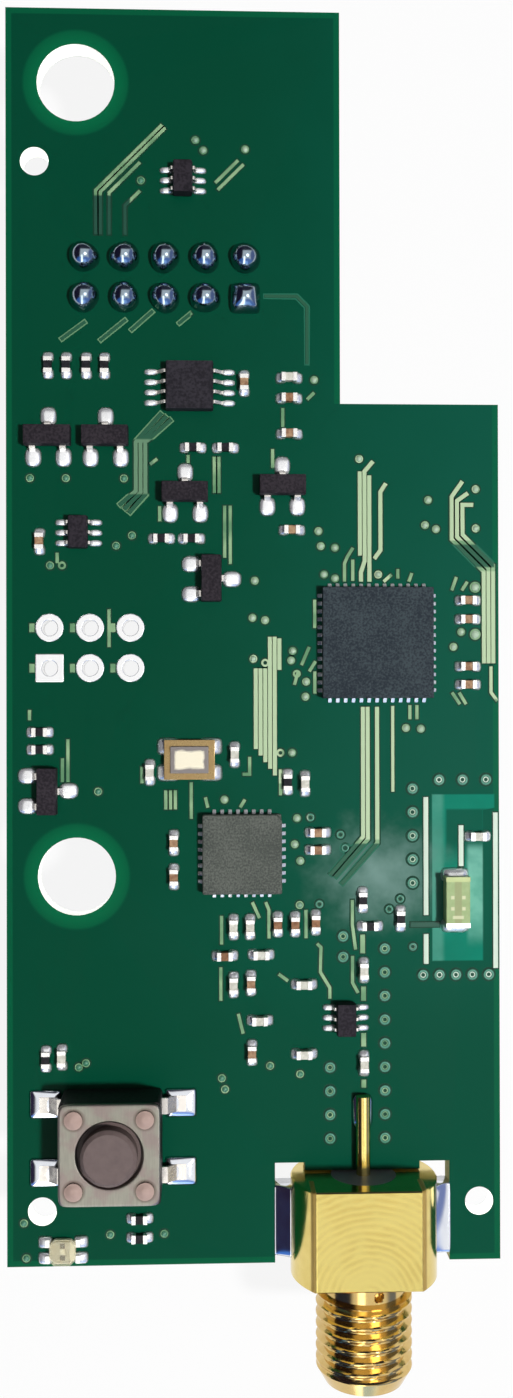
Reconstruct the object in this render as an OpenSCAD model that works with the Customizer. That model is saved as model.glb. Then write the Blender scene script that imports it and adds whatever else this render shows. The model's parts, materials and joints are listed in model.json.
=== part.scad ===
// Radio module: an L-shaped green circuit board with a coaxial jack in an edge notch,
// a push-button, two large flat chips, small chips, a ceramic antenna and a pin header below.
// Millimetres. X runs across the board, Y along it away from the jack, Z up from the board.
// The zero point is midway between the two mounting holes, on the board's underside.

/* [Board] */
// Width of the board at its lower end
board_w = 31.2; // [31:0.1:33]
// Length of the board
board_l = 79.3; // [78:0.1:82]
// Thickness of the board
board_t = 1.6; // [1.2:0.1:2.4]
// Width of the narrow upper tongue
tongue_w = 21.1; // [20.5:0.1:22]
// Length of the narrow upper tongue
tongue_l = 24.9; // [24:0.1:25.5]

/* [Holes] */
// Diameter of the two mounting holes
hole_d = 4.9; // [3:0.1:5.4]
// Distance of the mounting holes from the left edge
hole_x = 4.4; // [4.2:0.1:4.6]
// Height of the lower mounting hole above the lower edge
hole_y = 24.5; // [24.3:0.1:24.7]
// Distance between the two mounting holes
hole_pitch = 50.1; // [49.5:0.1:50.5]
// Diameter of the three locating holes
peg_d = 1.8; // [1.2:0.1:2]

/* [Pin header] */
// Distance between neighbouring pins
pitch = 2.54; // [2.5:0.01:2.56]
// Number of pin columns
header_cols = 5; // [3:1:5]
// Side of a square pin
pin_w = 0.64; // [0.5:0.01:0.7]
// Diameter of the pin holes in the board
pin_hole_d = 1.02; // [1:0.01:1.2]
// Height of the plastic pin carrier
carrier_h = 2.54; // [2:0.01:3]
// Length of the pins below their carrier
pin_reach = 6; // [4:0.1:8]
// Length of the pin tips above the board
pin_tip = 1.1; // [0.8:0.1:1.4]
// Diameter of a solder cone at the board
cone_d = 1.9; // [1.6:0.05:2]
// Height of a solder cone
cone_h = 0.85; // [0.5:0.05:1]
// Diameter of the open programming pads
prog_pad_d = 1.76; // [1.5:0.02:2]
// Diameter of the open programming holes
prog_hole_d = 1.0; // [0.8:0.05:1.1]

/* [Chip parts] */
// Length of a chip resistor or capacitor
chip_l = 1.0; // [0.9:0.05:1.05]
// Width of a chip resistor or capacitor
chip_w = 0.5; // [0.4:0.02:0.54]
// Height of a chip resistor
resistor_h = 0.33; // [0.25:0.01:0.4]
// Height of a chip capacitor
capacitor_h = 0.46; // [0.3:0.02:0.5]
// Length of the metal band round a chip's end
cap_band = 0.27; // [0.2:0.01:0.3]
// Thickness of the metal on a chip's end
cap_t = 0.03; // [0.02:0.005:0.04]
// Length of the solder beyond a chip's end
chip_toe = 0.33; // [0.2:0.01:0.34]
// Height of the solder layer under every lead and band
solder_t = 0.05; // [0.03:0.01:0.06]

/* [Transistors] */
// Length of a transistor body
sot_l = 2.9; // [2.8:0.05:3]
// Width of a transistor body
sot_w = 1.3; // [1.2:0.05:1.4]
// Height of a transistor body
sot_h = 0.95; // [0.8:0.05:1.1]
// Distance between the two leads on one side
sot_pitch = 1.9; // [1.8:0.05:2]
// Distance across a transistor's lead tips
sot_span = 2.4; // [2.3:0.05:2.5]

/* [Small chips] */
// Length of a six-lead chip body
sc_l = 2.0; // [1.9:0.05:2.1]
// Width of a six-lead chip body
sc_w = 1.25; // [1.15:0.05:1.3]
// Distance across a six-lead chip's lead tips
sc_span = 2.1; // [2:0.05:2.2]
// Side of the eight-lead memory chip's body
memory_w = 3.0; // [2.9:0.05:3.1]
// Distance across the memory chip's lead tips
memory_span = 4.9; // [4.8:0.05:5]
// Height of the small chips' bodies
small_h = 0.85; // [0.7:0.05:1]
// Distance between neighbouring leads of the small chips
small_pitch = 0.65; // [0.6:0.01:0.67]

/* [Flat chips] */
// Side of the processor
mcu_w = 7.0; // [6.8:0.05:7.1]
// Leads along one side of the processor
mcu_n = 13; // [10:1:13]
// Side of the radio chip
radio_w = 5.0; // [4.8:0.05:5.1]
// Leads along one side of the radio chip
radio_n = 8; // [6:1:8]
// Height of the flat chips
flat_h = 0.85; // [0.7:0.05:1]
// Distance between neighbouring leads of the flat chips
flat_pitch = 0.5; // [0.48:0.01:0.52]

/* [Crystal, antenna, light] */
// Length of the crystal's ceramic base
crystal_l = 3.2; // [3:0.05:3.3]
// Width of the crystal's ceramic base
crystal_w = 2.5; // [2.3:0.05:2.6]
// Height of the crystal's ceramic base
crystal_h = 0.5; // [0.4:0.05:0.7]
// Width of the ceramic frame left round the crystal's lid
crystal_rim = 0.4; // [0.2:0.01:0.5]
// Length of the chip antenna
antenna_l = 3.2; // [3:0.05:3.3]
// Width of the chip antenna
antenna_w = 1.5; // [1.2:0.05:1.6]
// Height of the chip antenna
antenna_h = 1.1; // [0.8:0.05:1.3]
// Length of the light's base across the board
led_l = 1.6; // [1.4:0.05:1.7]
// Width of the light's base along the board
led_w = 1.5; // [1.4:0.05:1.6]
// Cut at the corners of the light's base and cover
led_cut = 0.3; // [0.1:0.01:0.4]
// Height of the light's base
led_base_h = 0.3; // [0.2:0.02:0.4]
// Height of the light's clear cover
led_lens_h = 0.35; // [0.2:0.05:0.6]

/* [Push-button] */
// Side of the switch housing
switch_w = 6.2; // [6:0.05:6.3]
// Height of the housing above the board
switch_h = 3.1; // [2.9:0.05:3.6]
// Thickness of the metal cover
cover_t = 0.3; // [0.2:0.02:0.4]
// Diameter of the hole in the cover
cover_hole_d = 4.0; // [3.8:0.05:4.1]
// Diameter of the button's head
button_d = 3.45; // [3.2:0.05:3.6]
// Height of the button's head above the cover
button_rise = 0.75; // [0.5:0.05:1.5]
// How far the button travels
button_travel = 0.25; // [0.15:0.01:0.3]
// Distance of the corner posts from the switch's middle lines
post_at = 2.16; // [2.14:0.01:2.2]
// Diameter of the corner posts' heads
post_head_d = 1.1; // [1:0.05:1.2]
// Distance between the two rows of terminals
terminal_rows = 4.3; // [4.2:0.05:4.5]
// Distance across the switch's terminal tips
terminal_span = 9.2; // [9:0.05:9.6]
// Width of a switch terminal
terminal_w = 1.0; // [0.8:0.05:1.1]

/* [Coaxial jack] */
// Distance of the jack's axis from the left edge
jack_x = 22.4; // [22.3:0.05:22.5]
// Gap between the jack's round sides and the notch, filled with solder
notch_gap = 0.95; // [0.8:0.05:1.05]
// Depth of the notch that holds the jack
notch_d = 5.8; // [5.7:0.05:6]
// Width of the relief cut in each inner corner of the notch
relief_w = 1.9; // [1.2:0.1:2.4]
// Depth of the relief cuts beyond the notch's end
relief_d = 0.5; // [0.2:0.05:0.8]
// Diameter of the jack's round body
jack_d = 9.2; // [9:0.05:9.3]
// Distance across the jack's two flats
jack_flats = 6.35; // [6:0.05:6.6]
// Length of the jack's body
jack_l = 6.1; // [5.8:0.05:6.3]
// Gap between the notch's end and the jack's rear face
jack_gap = 0.1; // [0.05:0.05:0.3]
// Diameter of the neck behind the thread
neck_d = 5.4; // [5.2:0.05:5.5]
// Length of the neck behind the thread
neck_l = 0.8; // [0.6:0.05:1]
// Diameter of the threaded barrel over its crests
thread_d = 6.2; // [6.1:0.01:6.35]
// Length of the threaded barrel up to its bevel
thread_l = 4.9; // [4:0.1:6]
// Length of the bevel at the barrel's mouth
bevel_l = 0.9; // [0.5:0.05:1]
// Diameter of the barrel's mouth face
mouth_d = 5.0; // [4.8:0.05:5.2]
// Diameter of the plug socket in the barrel
socket_d = 4.6; // [4.5:0.02:4.7]
// Depth of the plug socket
socket_l = 1.9; // [1.7:0.05:2.1]
// Diameter of the insulator
insulator_d = 4.1; // [4:0.02:4.2]
// Diameter of the centre contact inside the insulator
contact_d = 1.27; // [1.2:0.01:1.3]
// Diameter of the contact's tail on the board
tail_d = 0.9; // [0.7:0.02:0.96]
// Length of the tail behind the jack's rear face
tail_l = 4.9; // [4.6:0.1:5]

/* [Tracks] */
// Width of a signal track
track_w = 0.2; // [0.12:0.01:0.22]
// Width of a bus track, one of several that run side by side
bus_w = 0.26; // [0.2:0.01:0.27]
// Distance between the middles of neighbouring bus tracks
bus_pitch = 0.3; // [0.28:0.01:0.31]
// Width of an aerial track
aerial_w = 0.3; // [0.2:0.01:0.34]
// Height of a covered track above the board
track_t = 0.05; // [0.03:0.01:0.06]
// Diameter of a fence via's ring
fence_d = 0.7; // [0.5:0.02:0.8]
// Diameter of a single via's ring
via_d = 0.5; // [0.4:0.02:0.54]
// Diameter of the dimple in a covered via
dimple_d = 0.24; // [0.15:0.01:0.3]

/* [Hidden] */

// Fineness of every round face
$fn = 96;

// Places on the board: across, along, turn in degrees
header_at = [10.0, 62.3];
prog_at = [5.25, 38.9];
pegs_at = [[1.8, 69.6], [2.2, 3.45], [board_w - 1.35, 3.7]];
processor_at = [23.4, 39.2, 0];
radio_at = [14.8, 25.9, 0];
memory_at = [11.55, 55.35, 0];
buffer_upper_at = [11.15, 68.45, 0];
buffer_lower_at = [4.55, 46.15, 0];
aerial_switch_at = [21.35, 15.45, 0];
six_leads_at = [buffer_upper_at, buffer_lower_at, aerial_switch_at];
transistors_at = [[2.65, 52.2, 90], [6.25, 52.2, 90], [11.25, 48.7, 90],
    [17.4, 49.15, 90], [12.9, 43.25, 0], [2.6, 29.9, 0]];
crystal_at = [11.5, 31.85, 0];
antenna_at = [28.35, 22.85, 90];
light_at = [3.5, 1.05, 0];
switch_at = [6.65, 8.05, 0];
resistors_at = [[2.65, 56.7, 90], [3.8, 56.7, 90], [5.05, 56.7, 90], [6.2, 56.7, 90],
    [11.75, 51.55, 0], [13.8, 51.55, 0], [9.75, 45.8, 0], [11.65, 45.8, 0],
    [2.1, 33.6, 0], [2.1, 32.5, 0], [17.7, 30.4, 90], [2.45, 13.05, 90],
    [8.3, 2.95, 0], [8.3, 1.75, 0], [22.45, 22.9, 90], [22.9, 21.25, 0], [24.85, 21.7, 90]];
capacitors_at = [[15.0, 55.65, 90], [17.85, 52.45, 0], [18.0, 46.35, 0], [2.1, 45.6, 90],
    for (y = [41.9, 40.7, 37.7, 36.55]) [processor_at[0] + 5.8, y, 0],
    [10.5, 26.6, 90], [10.5, 24.45, 90], [19.6, 27.2, 0], [19.6, 26.1, 0],
    [15.35, 17.7, 90], [15.4, 13.3, 90]];
filters_at = [[17.85, 56.0, 0], [9.0, 31.05, 90], [14.35, 32.15, 90], [18.8, 30.3, 90],
    [14.25, 21.25, 90], [15.3, 21.25, 90], [16.0, 19.5, 0], [14.25, 17.6, 90],
    [15.9, 15.35, 0], [18.7, 17.6, 0], [18.7, 13.2, 0], [22.5, 18.45, 90],
    [22.5, 12.55, 90], [29.8, 26.9, 0], [3.45, 13.15, 90]];
inductors_at = [[17.85, 54.7, 0], [13.7, 19.45, 0], [17.05, 21.4, 90], [18.15, 21.4, 90],
    [19.45, 21.5, 90]];

// First tracks of the buses above, beside and below the processor
upper_bus_x = 22.34;
left_bus_x = 15.7;
lower_bus_x = 22.5;
// Routes of the covered bus tracks, corner by corner
bus_tracks = [
    for (k = [-1 : 1]) let (x = 8.45 + bus_pitch * k) [
        [x + 1.65, 53.55 - 0.2 * k], [x, 51.9], [x, 48.7 - 0.1 * k], [x - 1.05, 47.65 - 0.25 * k]],
    [[upper_bus_x, 50.1], [upper_bus_x, 44.75]],
    let (x = upper_bus_x + bus_pitch) [
        [x + 0.55, 50.75], [x, 50.1], [x, 44.4], [x - 0.24, 43.7], [x - 0.24, 43.1]],
    let (x = upper_bus_x + 2 * bus_pitch) [[x, 49.85], [x, 43.1]],
    [[24.0, 49.35], [23.65, 48.8], [23.65, 45.1], [23.25, 44.55]],
    for (k = [0 : 2]) let (x = processor_at[0] + 6.85 + bus_pitch * k) [
        [x - 1.35 + 0.05 * k, 49.5 - 0.75 * k], [x - 2.05 + 0.05 * k, 48.5 - 0.25 * k],
        [x - 2.05 + 0.05 * k, 45.8 + 0.15 * k], [x, 43.75 + 0.2 * k], [x, 37.9]],
    for (k = [0 : 1]) let (x = lower_bus_x + bus_pitch * k) [
        [x, 35.15], [x, 26.9 - 0.15 * k], [x - 2.1, 24.5 - 0.15 * k]],
    [[23.4, 35.15], [23.4, 26.5], [21.1, 23.9]],
    for (k = [0 : 4]) let (x = left_bus_x + bus_pitch * k) [[x, k < 3 ? 37.6 : 39.6], [x, 32.5 - 0.42 * k]],
    let (x = left_bus_x + 5 * bus_pitch) [[x, 39.5], [x, 37.5]]];
// Routes of the single covered signal tracks
signal_tracks = [
    [[5.65, 65.0], [5.65, 67.8], [9.85, 72.0]],
    [[5.95, 65.0], [5.95, 67.7], [10.05, 71.8]],
    [[6.5, 65.0], [6.5, 67.65], [8.45, 69.6]],
    [[7.5, 65.0], [7.5, 66.85], [8.45, 67.8]],
    [[13.2, 68.35], [14.65, 69.8]],
    [[13.35, 67.9], [15.0, 69.55]],
    [[5.0, 59.5], [3.45, 58.35]],
    [[7.55, 59.65], [5.9, 58.3]],
    [[9.25, 60.2], [7.85, 58.95]],
    [[11.7, 60.1], [10.85, 59.4]],
    [[16.3, 61.2], [18.35, 61.2], [19.0, 60.55], [19.0, 56.9]],
    [[13.1, 51.0], [13.1, 48.7]],
    [[13.4, 51.0], [13.4, 48.7]],
    [[13.75, 47.9], [13.75, 44.6]],
    [[14.1, 47.9], [14.1, 44.2]],
    [[30.7, 37.7], [30.7, 36.05], [31.1, 35.5]],
    [[28.2, 36.05], [28.7, 35.3]],
    [[28.65, 36.05], [29.1, 35.3]],
    [[28.5, 43.4], [28.2, 42.55]],
    [[28.85, 42.55], [29.2, 43.1]],
    [[24.4, 35.2], [24.4, 29.75]],
    [[19.45, 41.95], [19.45, 40.15]],
    [[19.45, 37.4], [19.45, 36.0]],
    [[18.6, 37.8], [19.1, 38.95]],
    [[19.1, 37.4], [19.5, 38.05]],
    [[18.15, 36.55], [18.4, 37.45]],
    [[25.5, 35.25], [25.5, 34.35]],
    [[25.95, 35.25], [25.95, 34.35]],
    [[21.9, 45.25], [21.55, 44.7], [21.35, 44.25], [21.35, 43.1]],
    [[21.88, 44.5], [21.88, 43.15]],
    [[23.85, 43.1], [24.35, 43.55]],
    [[24.75, 43.9], [24.75, 43.3]],
    [[25.45, 43.1], [25.65, 43.65]],
    [[12.5, 29.45], [12.65, 28.8]],
    [[15.0, 29.3], [14.7, 28.8]],
    [[15.3, 32.0], [15.3, 30.9], [14.85, 30.9]],
    [[15.45, 22.8], [15.9, 21.8]],
    [[16.3, 22.8], [16.5, 22.3], [16.5, 20.5]],
    [[17.25, 31.2], [17.25, 29.55]],
    [[13.5, 21.95], [13.5, 20.15]],
    [[13.45, 18.7], [13.45, 16.6]],
    [[14.55, 15.75], [14.85, 14.5]],
    [[18.85, 22.3], [18.85, 20.5]],
    [[19.55, 20.15], [19.8, 19.9], [19.75, 18.35], [20.35, 17.35], [20.35, 16.65]],
    [[21.8, 22.9], [21.8, 21.3], [22.0, 19.75]],
    [[21.8, 19.35], [21.8, 17.65], [22.15, 17.0]],
    [[10.0, 29.9], [10.0, 28.7]],
    [[10.3, 29.9], [10.3, 28.7]],
    [[10.6, 29.9], [10.6, 28.7]],
    [[11.6, 30.4], [11.6, 28.1]],
    [[8.5, 31.4], [8.5, 30.35]],
    [[3.5, 31.95], [3.5, 30.45]],
    [[3.85, 33.15], [3.85, 30.45]],
    [[1.45, 35.0], [1.45, 34.35]],
    [[6.45, 41.35], [6.45, 38.95]],
    [[16.8, 51.5], [16.8, 50.3]],
    [[17.45, 54.1], [17.45, 52.9]],
    [[17.1, 18.25], [17.7, 17.8]],
    [[19.0, 54.65], [19.45, 55.1]],
    [[9.65, 47.85], [9.65, 46.9]],
    [[9.5, 50.85], [9.05, 50.5]],
    [[3.2, 44.9], [3.2, 44.25]],
    [[11.45, 50.6], [11.45, 51.1]]];
// Routes of the wider aerial tracks
aerial_tracks = [
    [[22.45, 20.7], [22.45, 19.5]],
    [[22.5, 17.4], [22.5, 16.5]],
    [[22.5, 14.45], [22.5, 13.6]],
    [[22.5, 11.5], [22.5, 11.0]],
    [[28.75, 27.6], [28.75, 25.0]],
    [[25.5, 21.3], [27.35, 21.3]],
    [[26.5, 29.4], [26.5, 21.9]],
    [[26.5, 20.7], [26.5, 18.8]],
    [[30.95, 28.4], [30.95, 18.5]]];
// Rows of covered vias beside the aerial's line and round its corner: start, step, count
fence_rows = [
    [[25.65, 23.95], [0, 1.5], 5],
    [[27.35, 30.5], [1.5, 0], 3],
    [[23.85, 7.8], [0, 1.5], 9],
    [[20.35, 7.8], [0, 1.5], 4],
    [[26.3, 18.1], [1.05, 0], 5],
    [[21.2, 19.3], [0, 1.3], 2],
    [[29.7, 39.75], [0, 3], 2]];
// Single covered vias between the chips
vias_at = [[11.95, 71.05], [12.45, 70.4], [15.1, 70.5], [8.5, 68.45],
    [15.65, 43.15], [15.5, 40.8], [16.3, 40.65], [15.55, 38.2], [16.3, 37.95],
    [26.5, 46.7], [27.2, 46.45], [29.75, 49.0], [29.75, 46.5],
    [18.05, 38.7], [17.95, 38.1], [18.3, 37.25], [18.9, 36.75], [18.85, 35.8],
    [22.3, 50.9], [19.85, 45.35], [19.7, 46.3], [20.05, 43.55], [20.75, 43.3], [23.5, 43.55],
    [20.75, 45.25], [5.75, 29.85], [17.25, 32.25], [18.0, 32.25],
    [28.8, 39.9], [28.3, 38.95], [26.7, 48.3], [25.25, 33.8], [26.2, 33.75], [19.45, 55.9],
    [3.75, 49.6], [7.4, 49.6], [1.5, 49.6], [6.9, 45.35], [3.5, 44.1], [2.75, 44.1], [7.9, 46.0],
    [4.95, 12.75], [4.5, 12.5], [6.45, 1.95], [9.85, 1.95], [1.05, 2.75], [1.2, 0.55],
    [13.7, 11.0], [13.5, 11.7], [16.55, 12.45], [18.45, 11.9],
    [21.05, 27.05], [21.35, 26.2], [24.15, 22.3], [24.85, 22.95], [25.65, 19.9],
    [13.7, 29.3], [18.3, 28.1], [19.15, 28.15], [18.15, 26.45], [18.5, 25.4], [18.45, 22.6], [19.7, 22.65]];

// How far cutting tools run past the faces that they cut
over = 1;
// Standing height of the moulded bodies above the board
body_z = 0.1;
// Thickness of the moulded bodies' leads, and the slope of their sides
lead_t = 0.13;
draft = 0.06;
// Lead widths, foot lengths and shoulder lengths of the moulded bodies
sot_lead_w = 0.42;
small_lead_w = 0.22;
sot_foot = 0.28;
sc_foot = 0.2;
memory_foot = 0.5;
shoulder = 0.12;
// Solder beyond and behind the lead tips, and its extra width
sot_toe = 0.6;
small_toe = 0.42;
heel = 0.45;
sot_pad_w = 0.84;
small_pad_w = 0.38;
// Lead blocks of the flat chips and the solder beyond them
flat_lead = [0.34, 0.24, 0.2];
flat_toe = 0.28;
flat_core = 0.68;
corner_cut = 0.5;
// Extra width of a chip's solder, and the share of its height that the solder climbs
chip_pad_extra = 0.14;
climb = 0.62;
// Crystal lid, aerial ends and light parts
lid_t = 0.2;
antenna_band = 0.3;
led_die = [0.3, 0.3, 0.12];
led_die_at = 0.36;
led_end = [0.3, 0.5];
// Switch: corner roundings, cavity, floor, dome, flange, terminals and running gaps
cover_round = 0.4;
housing_round = 0.25;
cavity_d = 4.8;
floor_z = 0.95;
dome_d = 4.4;
dome_rise = 0.5;
dome_t = 0.1;
flange_d = 4.5;
flange_t = 0.8;
boss_d = 1.8;
button_edge = 0.22;
seat_gap = 0.02;
lift_gap = 0.05;
post_d = 0.9;
post_gap = 0.03;
post_head_h = 0.12;
strip_z = 0.55;
strip_t = 0.2;
terminal_foot = 0.7;
terminal_shoulder = 0.35;
switch_toe = 0.65;
switch_heel = 0.15;
switch_pad_w = 1.8;
tongue_contact_w = 1.0;
rim_contact_l = 1.2;
rim_contact_w = 0.5;
centre_contact_d = 1.0;
// Jack: contact step, contact socket, filling hole and solder
step_l = 0.8;
contact_bore = 0.92;
contact_depth = 2.5;
fill_hole_d = 0.6;
fill_turn = 14;
jack_solder_l = 4.4;
jack_solder_low = 0.4;
jack_solder_rise = 1.1;
jack_solder_lap = 0.04;
jack_solder_from = 0.5;
tail_solder_l = 2.2;
tail_solder_w = 1.3;
tail_solder_h = 0.3;
// Programming pads: metal thickness, and the short tracks that lead to them
pad_t = 0.05;
tab_gap = 0.06;
tab_l = 0.32;
tab_w = 0.55;
// Pin point and carrier corner sizes
pin_point = 0.18;
carrier_cut = 0.5;

// Derived heights and places
axis_z = board_t + solder_t + tail_d / 2;
notch_w = jack_d + 2 * notch_gap;
jack_rear = notch_d - jack_gap;
jack_front = jack_rear - jack_l;
barrel_l = neck_l + thread_l + bevel_l;
mouth_y = jack_front - barrel_l;
apex_z = floor_z + dome_rise;
dome_r = (pow(dome_d / 2, 2) + pow(dome_rise, 2)) / (2 * dome_rise);
cover_top = switch_h + cover_t;

// Sets the zero point between the mounting holes
module in_frame() {
    translate([-hole_x, -hole_y - hole_pitch / 2, 0]) children();
}

// Puts a part on the board's top face
module on_board(p) {
    translate([p[0], p[1], board_t]) rotate(p[2]) children();
}

// Draws an upright profile, drawn across and up, through a width
module upright(w) {
    rotate([90, 0, 0]) linear_extrude(w, center = true) children();
}

// Lays a tool along the jack, with its own Z running to the mouth
module along_jack(y) {
    translate([jack_x, y, axis_z]) rotate([90, 0, 0]) children();
}

// Corner points of a track of constant width with mitred bends
function unit(v) = v / norm(v);
function side(v) = [-v[1], v[0]];
function leg(p, i) = side(unit(p[i + 1] - p[i]));
function bend(p, i) = i == 0 ? leg(p, 0)
    : i == len(p) - 1 ? leg(p, i - 1)
    : (leg(p, i - 1) + leg(p, i)) / (1 + leg(p, i - 1) * leg(p, i));
function track_edge(p, w) = concat(
    [for (i = [0 : len(p) - 1]) p[i] + bend(p, i) * w / 2],
    [for (i = [len(p) - 1 : -1 : 0]) p[i] - bend(p, i) * w / 2]);

// Places of the header pins and of the programming holes
function header_places() = [for (i = [0 : header_cols - 1], j = [-1, 1])
    header_at + [(i - (header_cols - 1) / 2) * pitch, j * pitch / 2]];
function prog_places() = [for (j = [-1, 1], i = [-1 : 1]) prog_at + [i * pitch, j * pitch / 2]];

module circuit_board() {
    color("darkgreen") in_frame() linear_extrude(board_t) difference() {
        polygon([[0, 0], [jack_x - notch_w / 2, 0], [jack_x - notch_w / 2, notch_d],
            [jack_x + notch_w / 2, notch_d], [jack_x + notch_w / 2, 0], [board_w, 0],
            [board_w, board_l - tongue_l], [tongue_w, board_l - tongue_l],
            [tongue_w, board_l], [0, board_l]]);
        for (s = [-1, 1]) translate([jack_x + s * (notch_w - relief_w) / 2, notch_d])
            square([relief_w, 2 * relief_d], center = true);
        for (k = [0, 1]) translate([hole_x, hole_y + k * hole_pitch]) circle(d = hole_d);
        for (p = pegs_at) translate(p) circle(d = peg_d);
        for (p = header_places()) translate(p) circle(d = pin_hole_d);
        for (p = prog_places()) translate(p) circle(d = prog_hole_d + 2 * pad_t);
    }
}

module copper_tracks() {
    color("seagreen") in_frame() translate([0, 0, board_t]) {
        for (p = signal_tracks) linear_extrude(track_t) polygon(track_edge(p, track_w));
        for (p = bus_tracks) linear_extrude(track_t) polygon(track_edge(p, bus_w));
        for (p = aerial_tracks) linear_extrude(track_t) polygon(track_edge(p, aerial_w));
        for (r = fence_rows, i = [0 : r[2] - 1]) translate(r[0] + i * r[1]) via_ring(fence_d);
        for (p = vias_at) translate(p) via_ring(via_d);
        for (p = prog_places()) translate([p[0] - prog_pad_d / 2 - tab_gap - tab_l, p[1] - tab_w / 2, 0])
            cube([tab_l, tab_w, track_t]);
    }
}

// The ring of copper round one covered via
module via_ring(d) {
    linear_extrude(track_t) difference() {
        circle(d = d);
        circle(d = dimple_d);
    }
}

module programming_pads() {
    color("silver") in_frame() for (i = [0 : 5]) translate(prog_places()[i]) difference() {
        union() {
            cylinder(d = prog_hole_d + 2 * pad_t, h = board_t);
            translate([0, 0, -pad_t]) cylinder(d = prog_pad_d, h = pad_t);
            if (i == 0)
                translate([-prog_pad_d / 2, -prog_pad_d / 2, board_t]) cube([prog_pad_d, prog_pad_d, pad_t]);
            else
                translate([0, 0, board_t]) cylinder(d = prog_pad_d, h = pad_t);
        }
        translate([0, 0, -over]) cylinder(d = prog_hole_d, h = board_t + 2 * over);
    }
}

// One square pin with bevelled points
module header_pin() {
    low = -carrier_h - pin_reach;
    high = board_t + pin_tip;
    upright(pin_w) polygon([
        [-pin_w / 2 + pin_point, low], [pin_w / 2 - pin_point, low],
        [pin_w / 2, low + pin_point * 2], [pin_w / 2, high - pin_point * 2],
        [pin_w / 2 - pin_point, high], [-pin_w / 2 + pin_point, high],
        [-pin_w / 2, high - pin_point * 2], [-pin_w / 2, low + pin_point * 2]]);
}

module header_pins() {
    color("goldenrod") in_frame() for (p = header_places()) translate(p) header_pin();
}

module header_carrier() {
    half = header_cols * pitch / 2;
    upper = [for (i = [0 : header_cols - 1], k = [0 : 2])
        [-half + i * pitch + [carrier_cut, pitch - carrier_cut, pitch][k],
            k == 2 && i < header_cols - 1 ? pitch - carrier_cut : k == 2 ? 0 : pitch]];
    lower = [for (i = [0 : header_cols - 1], k = [0 : 2])
        [half - i * pitch - [carrier_cut, pitch - carrier_cut, pitch][k],
            k == 2 && i < header_cols - 1 ? -pitch + carrier_cut : k == 2 ? 0 : -pitch]];
    color("dimgray") in_frame() difference() {
        translate([header_at[0], header_at[1], -carrier_h])
            linear_extrude(carrier_h) polygon(concat(upper, lower));
        for (p = header_places()) translate(p) header_pin();
    }
}

module header_solder() {
    color("silver") in_frame() for (p = header_places()) translate(p) difference() {
        union() {
            cylinder(d = pin_hole_d, h = board_t);
            translate([0, 0, board_t]) cylinder(d1 = cone_d, d2 = pin_w * 1.5, h = cone_h);
        }
        header_pin();
    }
}

// A moulded body with sloping long sides and an upright band at the leads
module moulded(l, w, h) {
    mid = body_z + h / 2;
    rotate(90) upright_x(l, [[-w / 2 + draft, body_z], [w / 2 - draft, body_z],
        [w / 2, mid - lead_t / 2], [w / 2, mid + lead_t / 2],
        [w / 2 - draft, body_z + h], [-w / 2 + draft, body_z + h],
        [-w / 2, mid + lead_t / 2], [-w / 2, mid - lead_t / 2]]);
}

// An upright profile across X, drawn along Y and turned to lie along the body
module upright_x(l, points) {
    rotate(-90) upright(l) polygon(points);
}

// One bent lead on the +X side, from the body's face to the tip
module bent_lead(root, tip, z, foot, w, t, out) {
    knee = tip - foot;
    upright(w) polygon([[root, z - t / 2], [root + out - t / 2, z - t / 2], [knee, solder_t],
        [tip, solder_t], [tip, solder_t + t], [knee + t / 2, solder_t + t],
        [root + out, z + t / 2], [root, z + t / 2]]);
}

// Solder under one lead, climbing its tip
module lead_foot(inner, tip, outer, w, t) {
    upright(w) polygon([[inner, 0], [outer, 0], [outer, solder_t],
        [tip, solder_t + t], [tip, solder_t], [inner, solder_t]]);
}

// Turns a part for the -X side
module both_sides() {
    children();
    rotate(180) children();
}

module row_of(n, step) {
    for (i = [0 : n - 1]) translate([0, (i - (n - 1) / 2) * step, 0]) children();
}

module transistor_body(i) {
    color("#241f26") in_frame() on_board(transistors_at[i]) moulded(sot_l, sot_w, sot_h);
}

module transistor_lead() {
    bent_lead(sot_w / 2, sot_span / 2, body_z + sot_h / 2, sot_foot, sot_lead_w, lead_t, shoulder);
}

module transistor_leads() {
    color("silver") in_frame() for (p = transistors_at) on_board(p) {
        transistor_lead();
        rotate(180) row_of(2, sot_pitch) transistor_lead();
    }
}

module six_lead_body(p) {
    color("#262228") in_frame() on_board(p) moulded(sc_l, sc_w, small_h);
}

module six_lead_leads() {
    color("silver") in_frame() for (p = six_leads_at) on_board(p) both_sides() row_of(3, small_pitch)
        bent_lead(sc_w / 2, sc_span / 2, body_z + small_h / 2, sc_foot, small_lead_w, lead_t, shoulder);
}

module memory_body() {
    color("#2a2629") in_frame() on_board(memory_at) moulded(memory_w, memory_w, small_h);
}

module memory_leads() {
    color("silver") in_frame() on_board(memory_at) both_sides() row_of(4, small_pitch)
        bent_lead(memory_w / 2, memory_span / 2, body_z + small_h / 2, memory_foot,
            small_lead_w, lead_t, shoulder);
}

module transistor_foot() {
    tip = sot_span / 2;
    lead_foot(tip - heel, tip, tip + sot_toe, sot_pad_w, lead_t);
}

module small_foot(span) {
    lead_foot(span / 2 - heel, span / 2, span / 2 + small_toe, small_pad_w, lead_t);
}

module lead_solder() {
    color("gainsboro") in_frame() {
        for (p = transistors_at) on_board(p) {
            transistor_foot();
            rotate(180) row_of(2, sot_pitch) transistor_foot();
        }
        for (p = six_leads_at) on_board(p) both_sides() row_of(3, small_pitch) small_foot(sc_span);
        on_board(memory_at) both_sides() row_of(4, small_pitch) small_foot(memory_span);
    }
}

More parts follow.
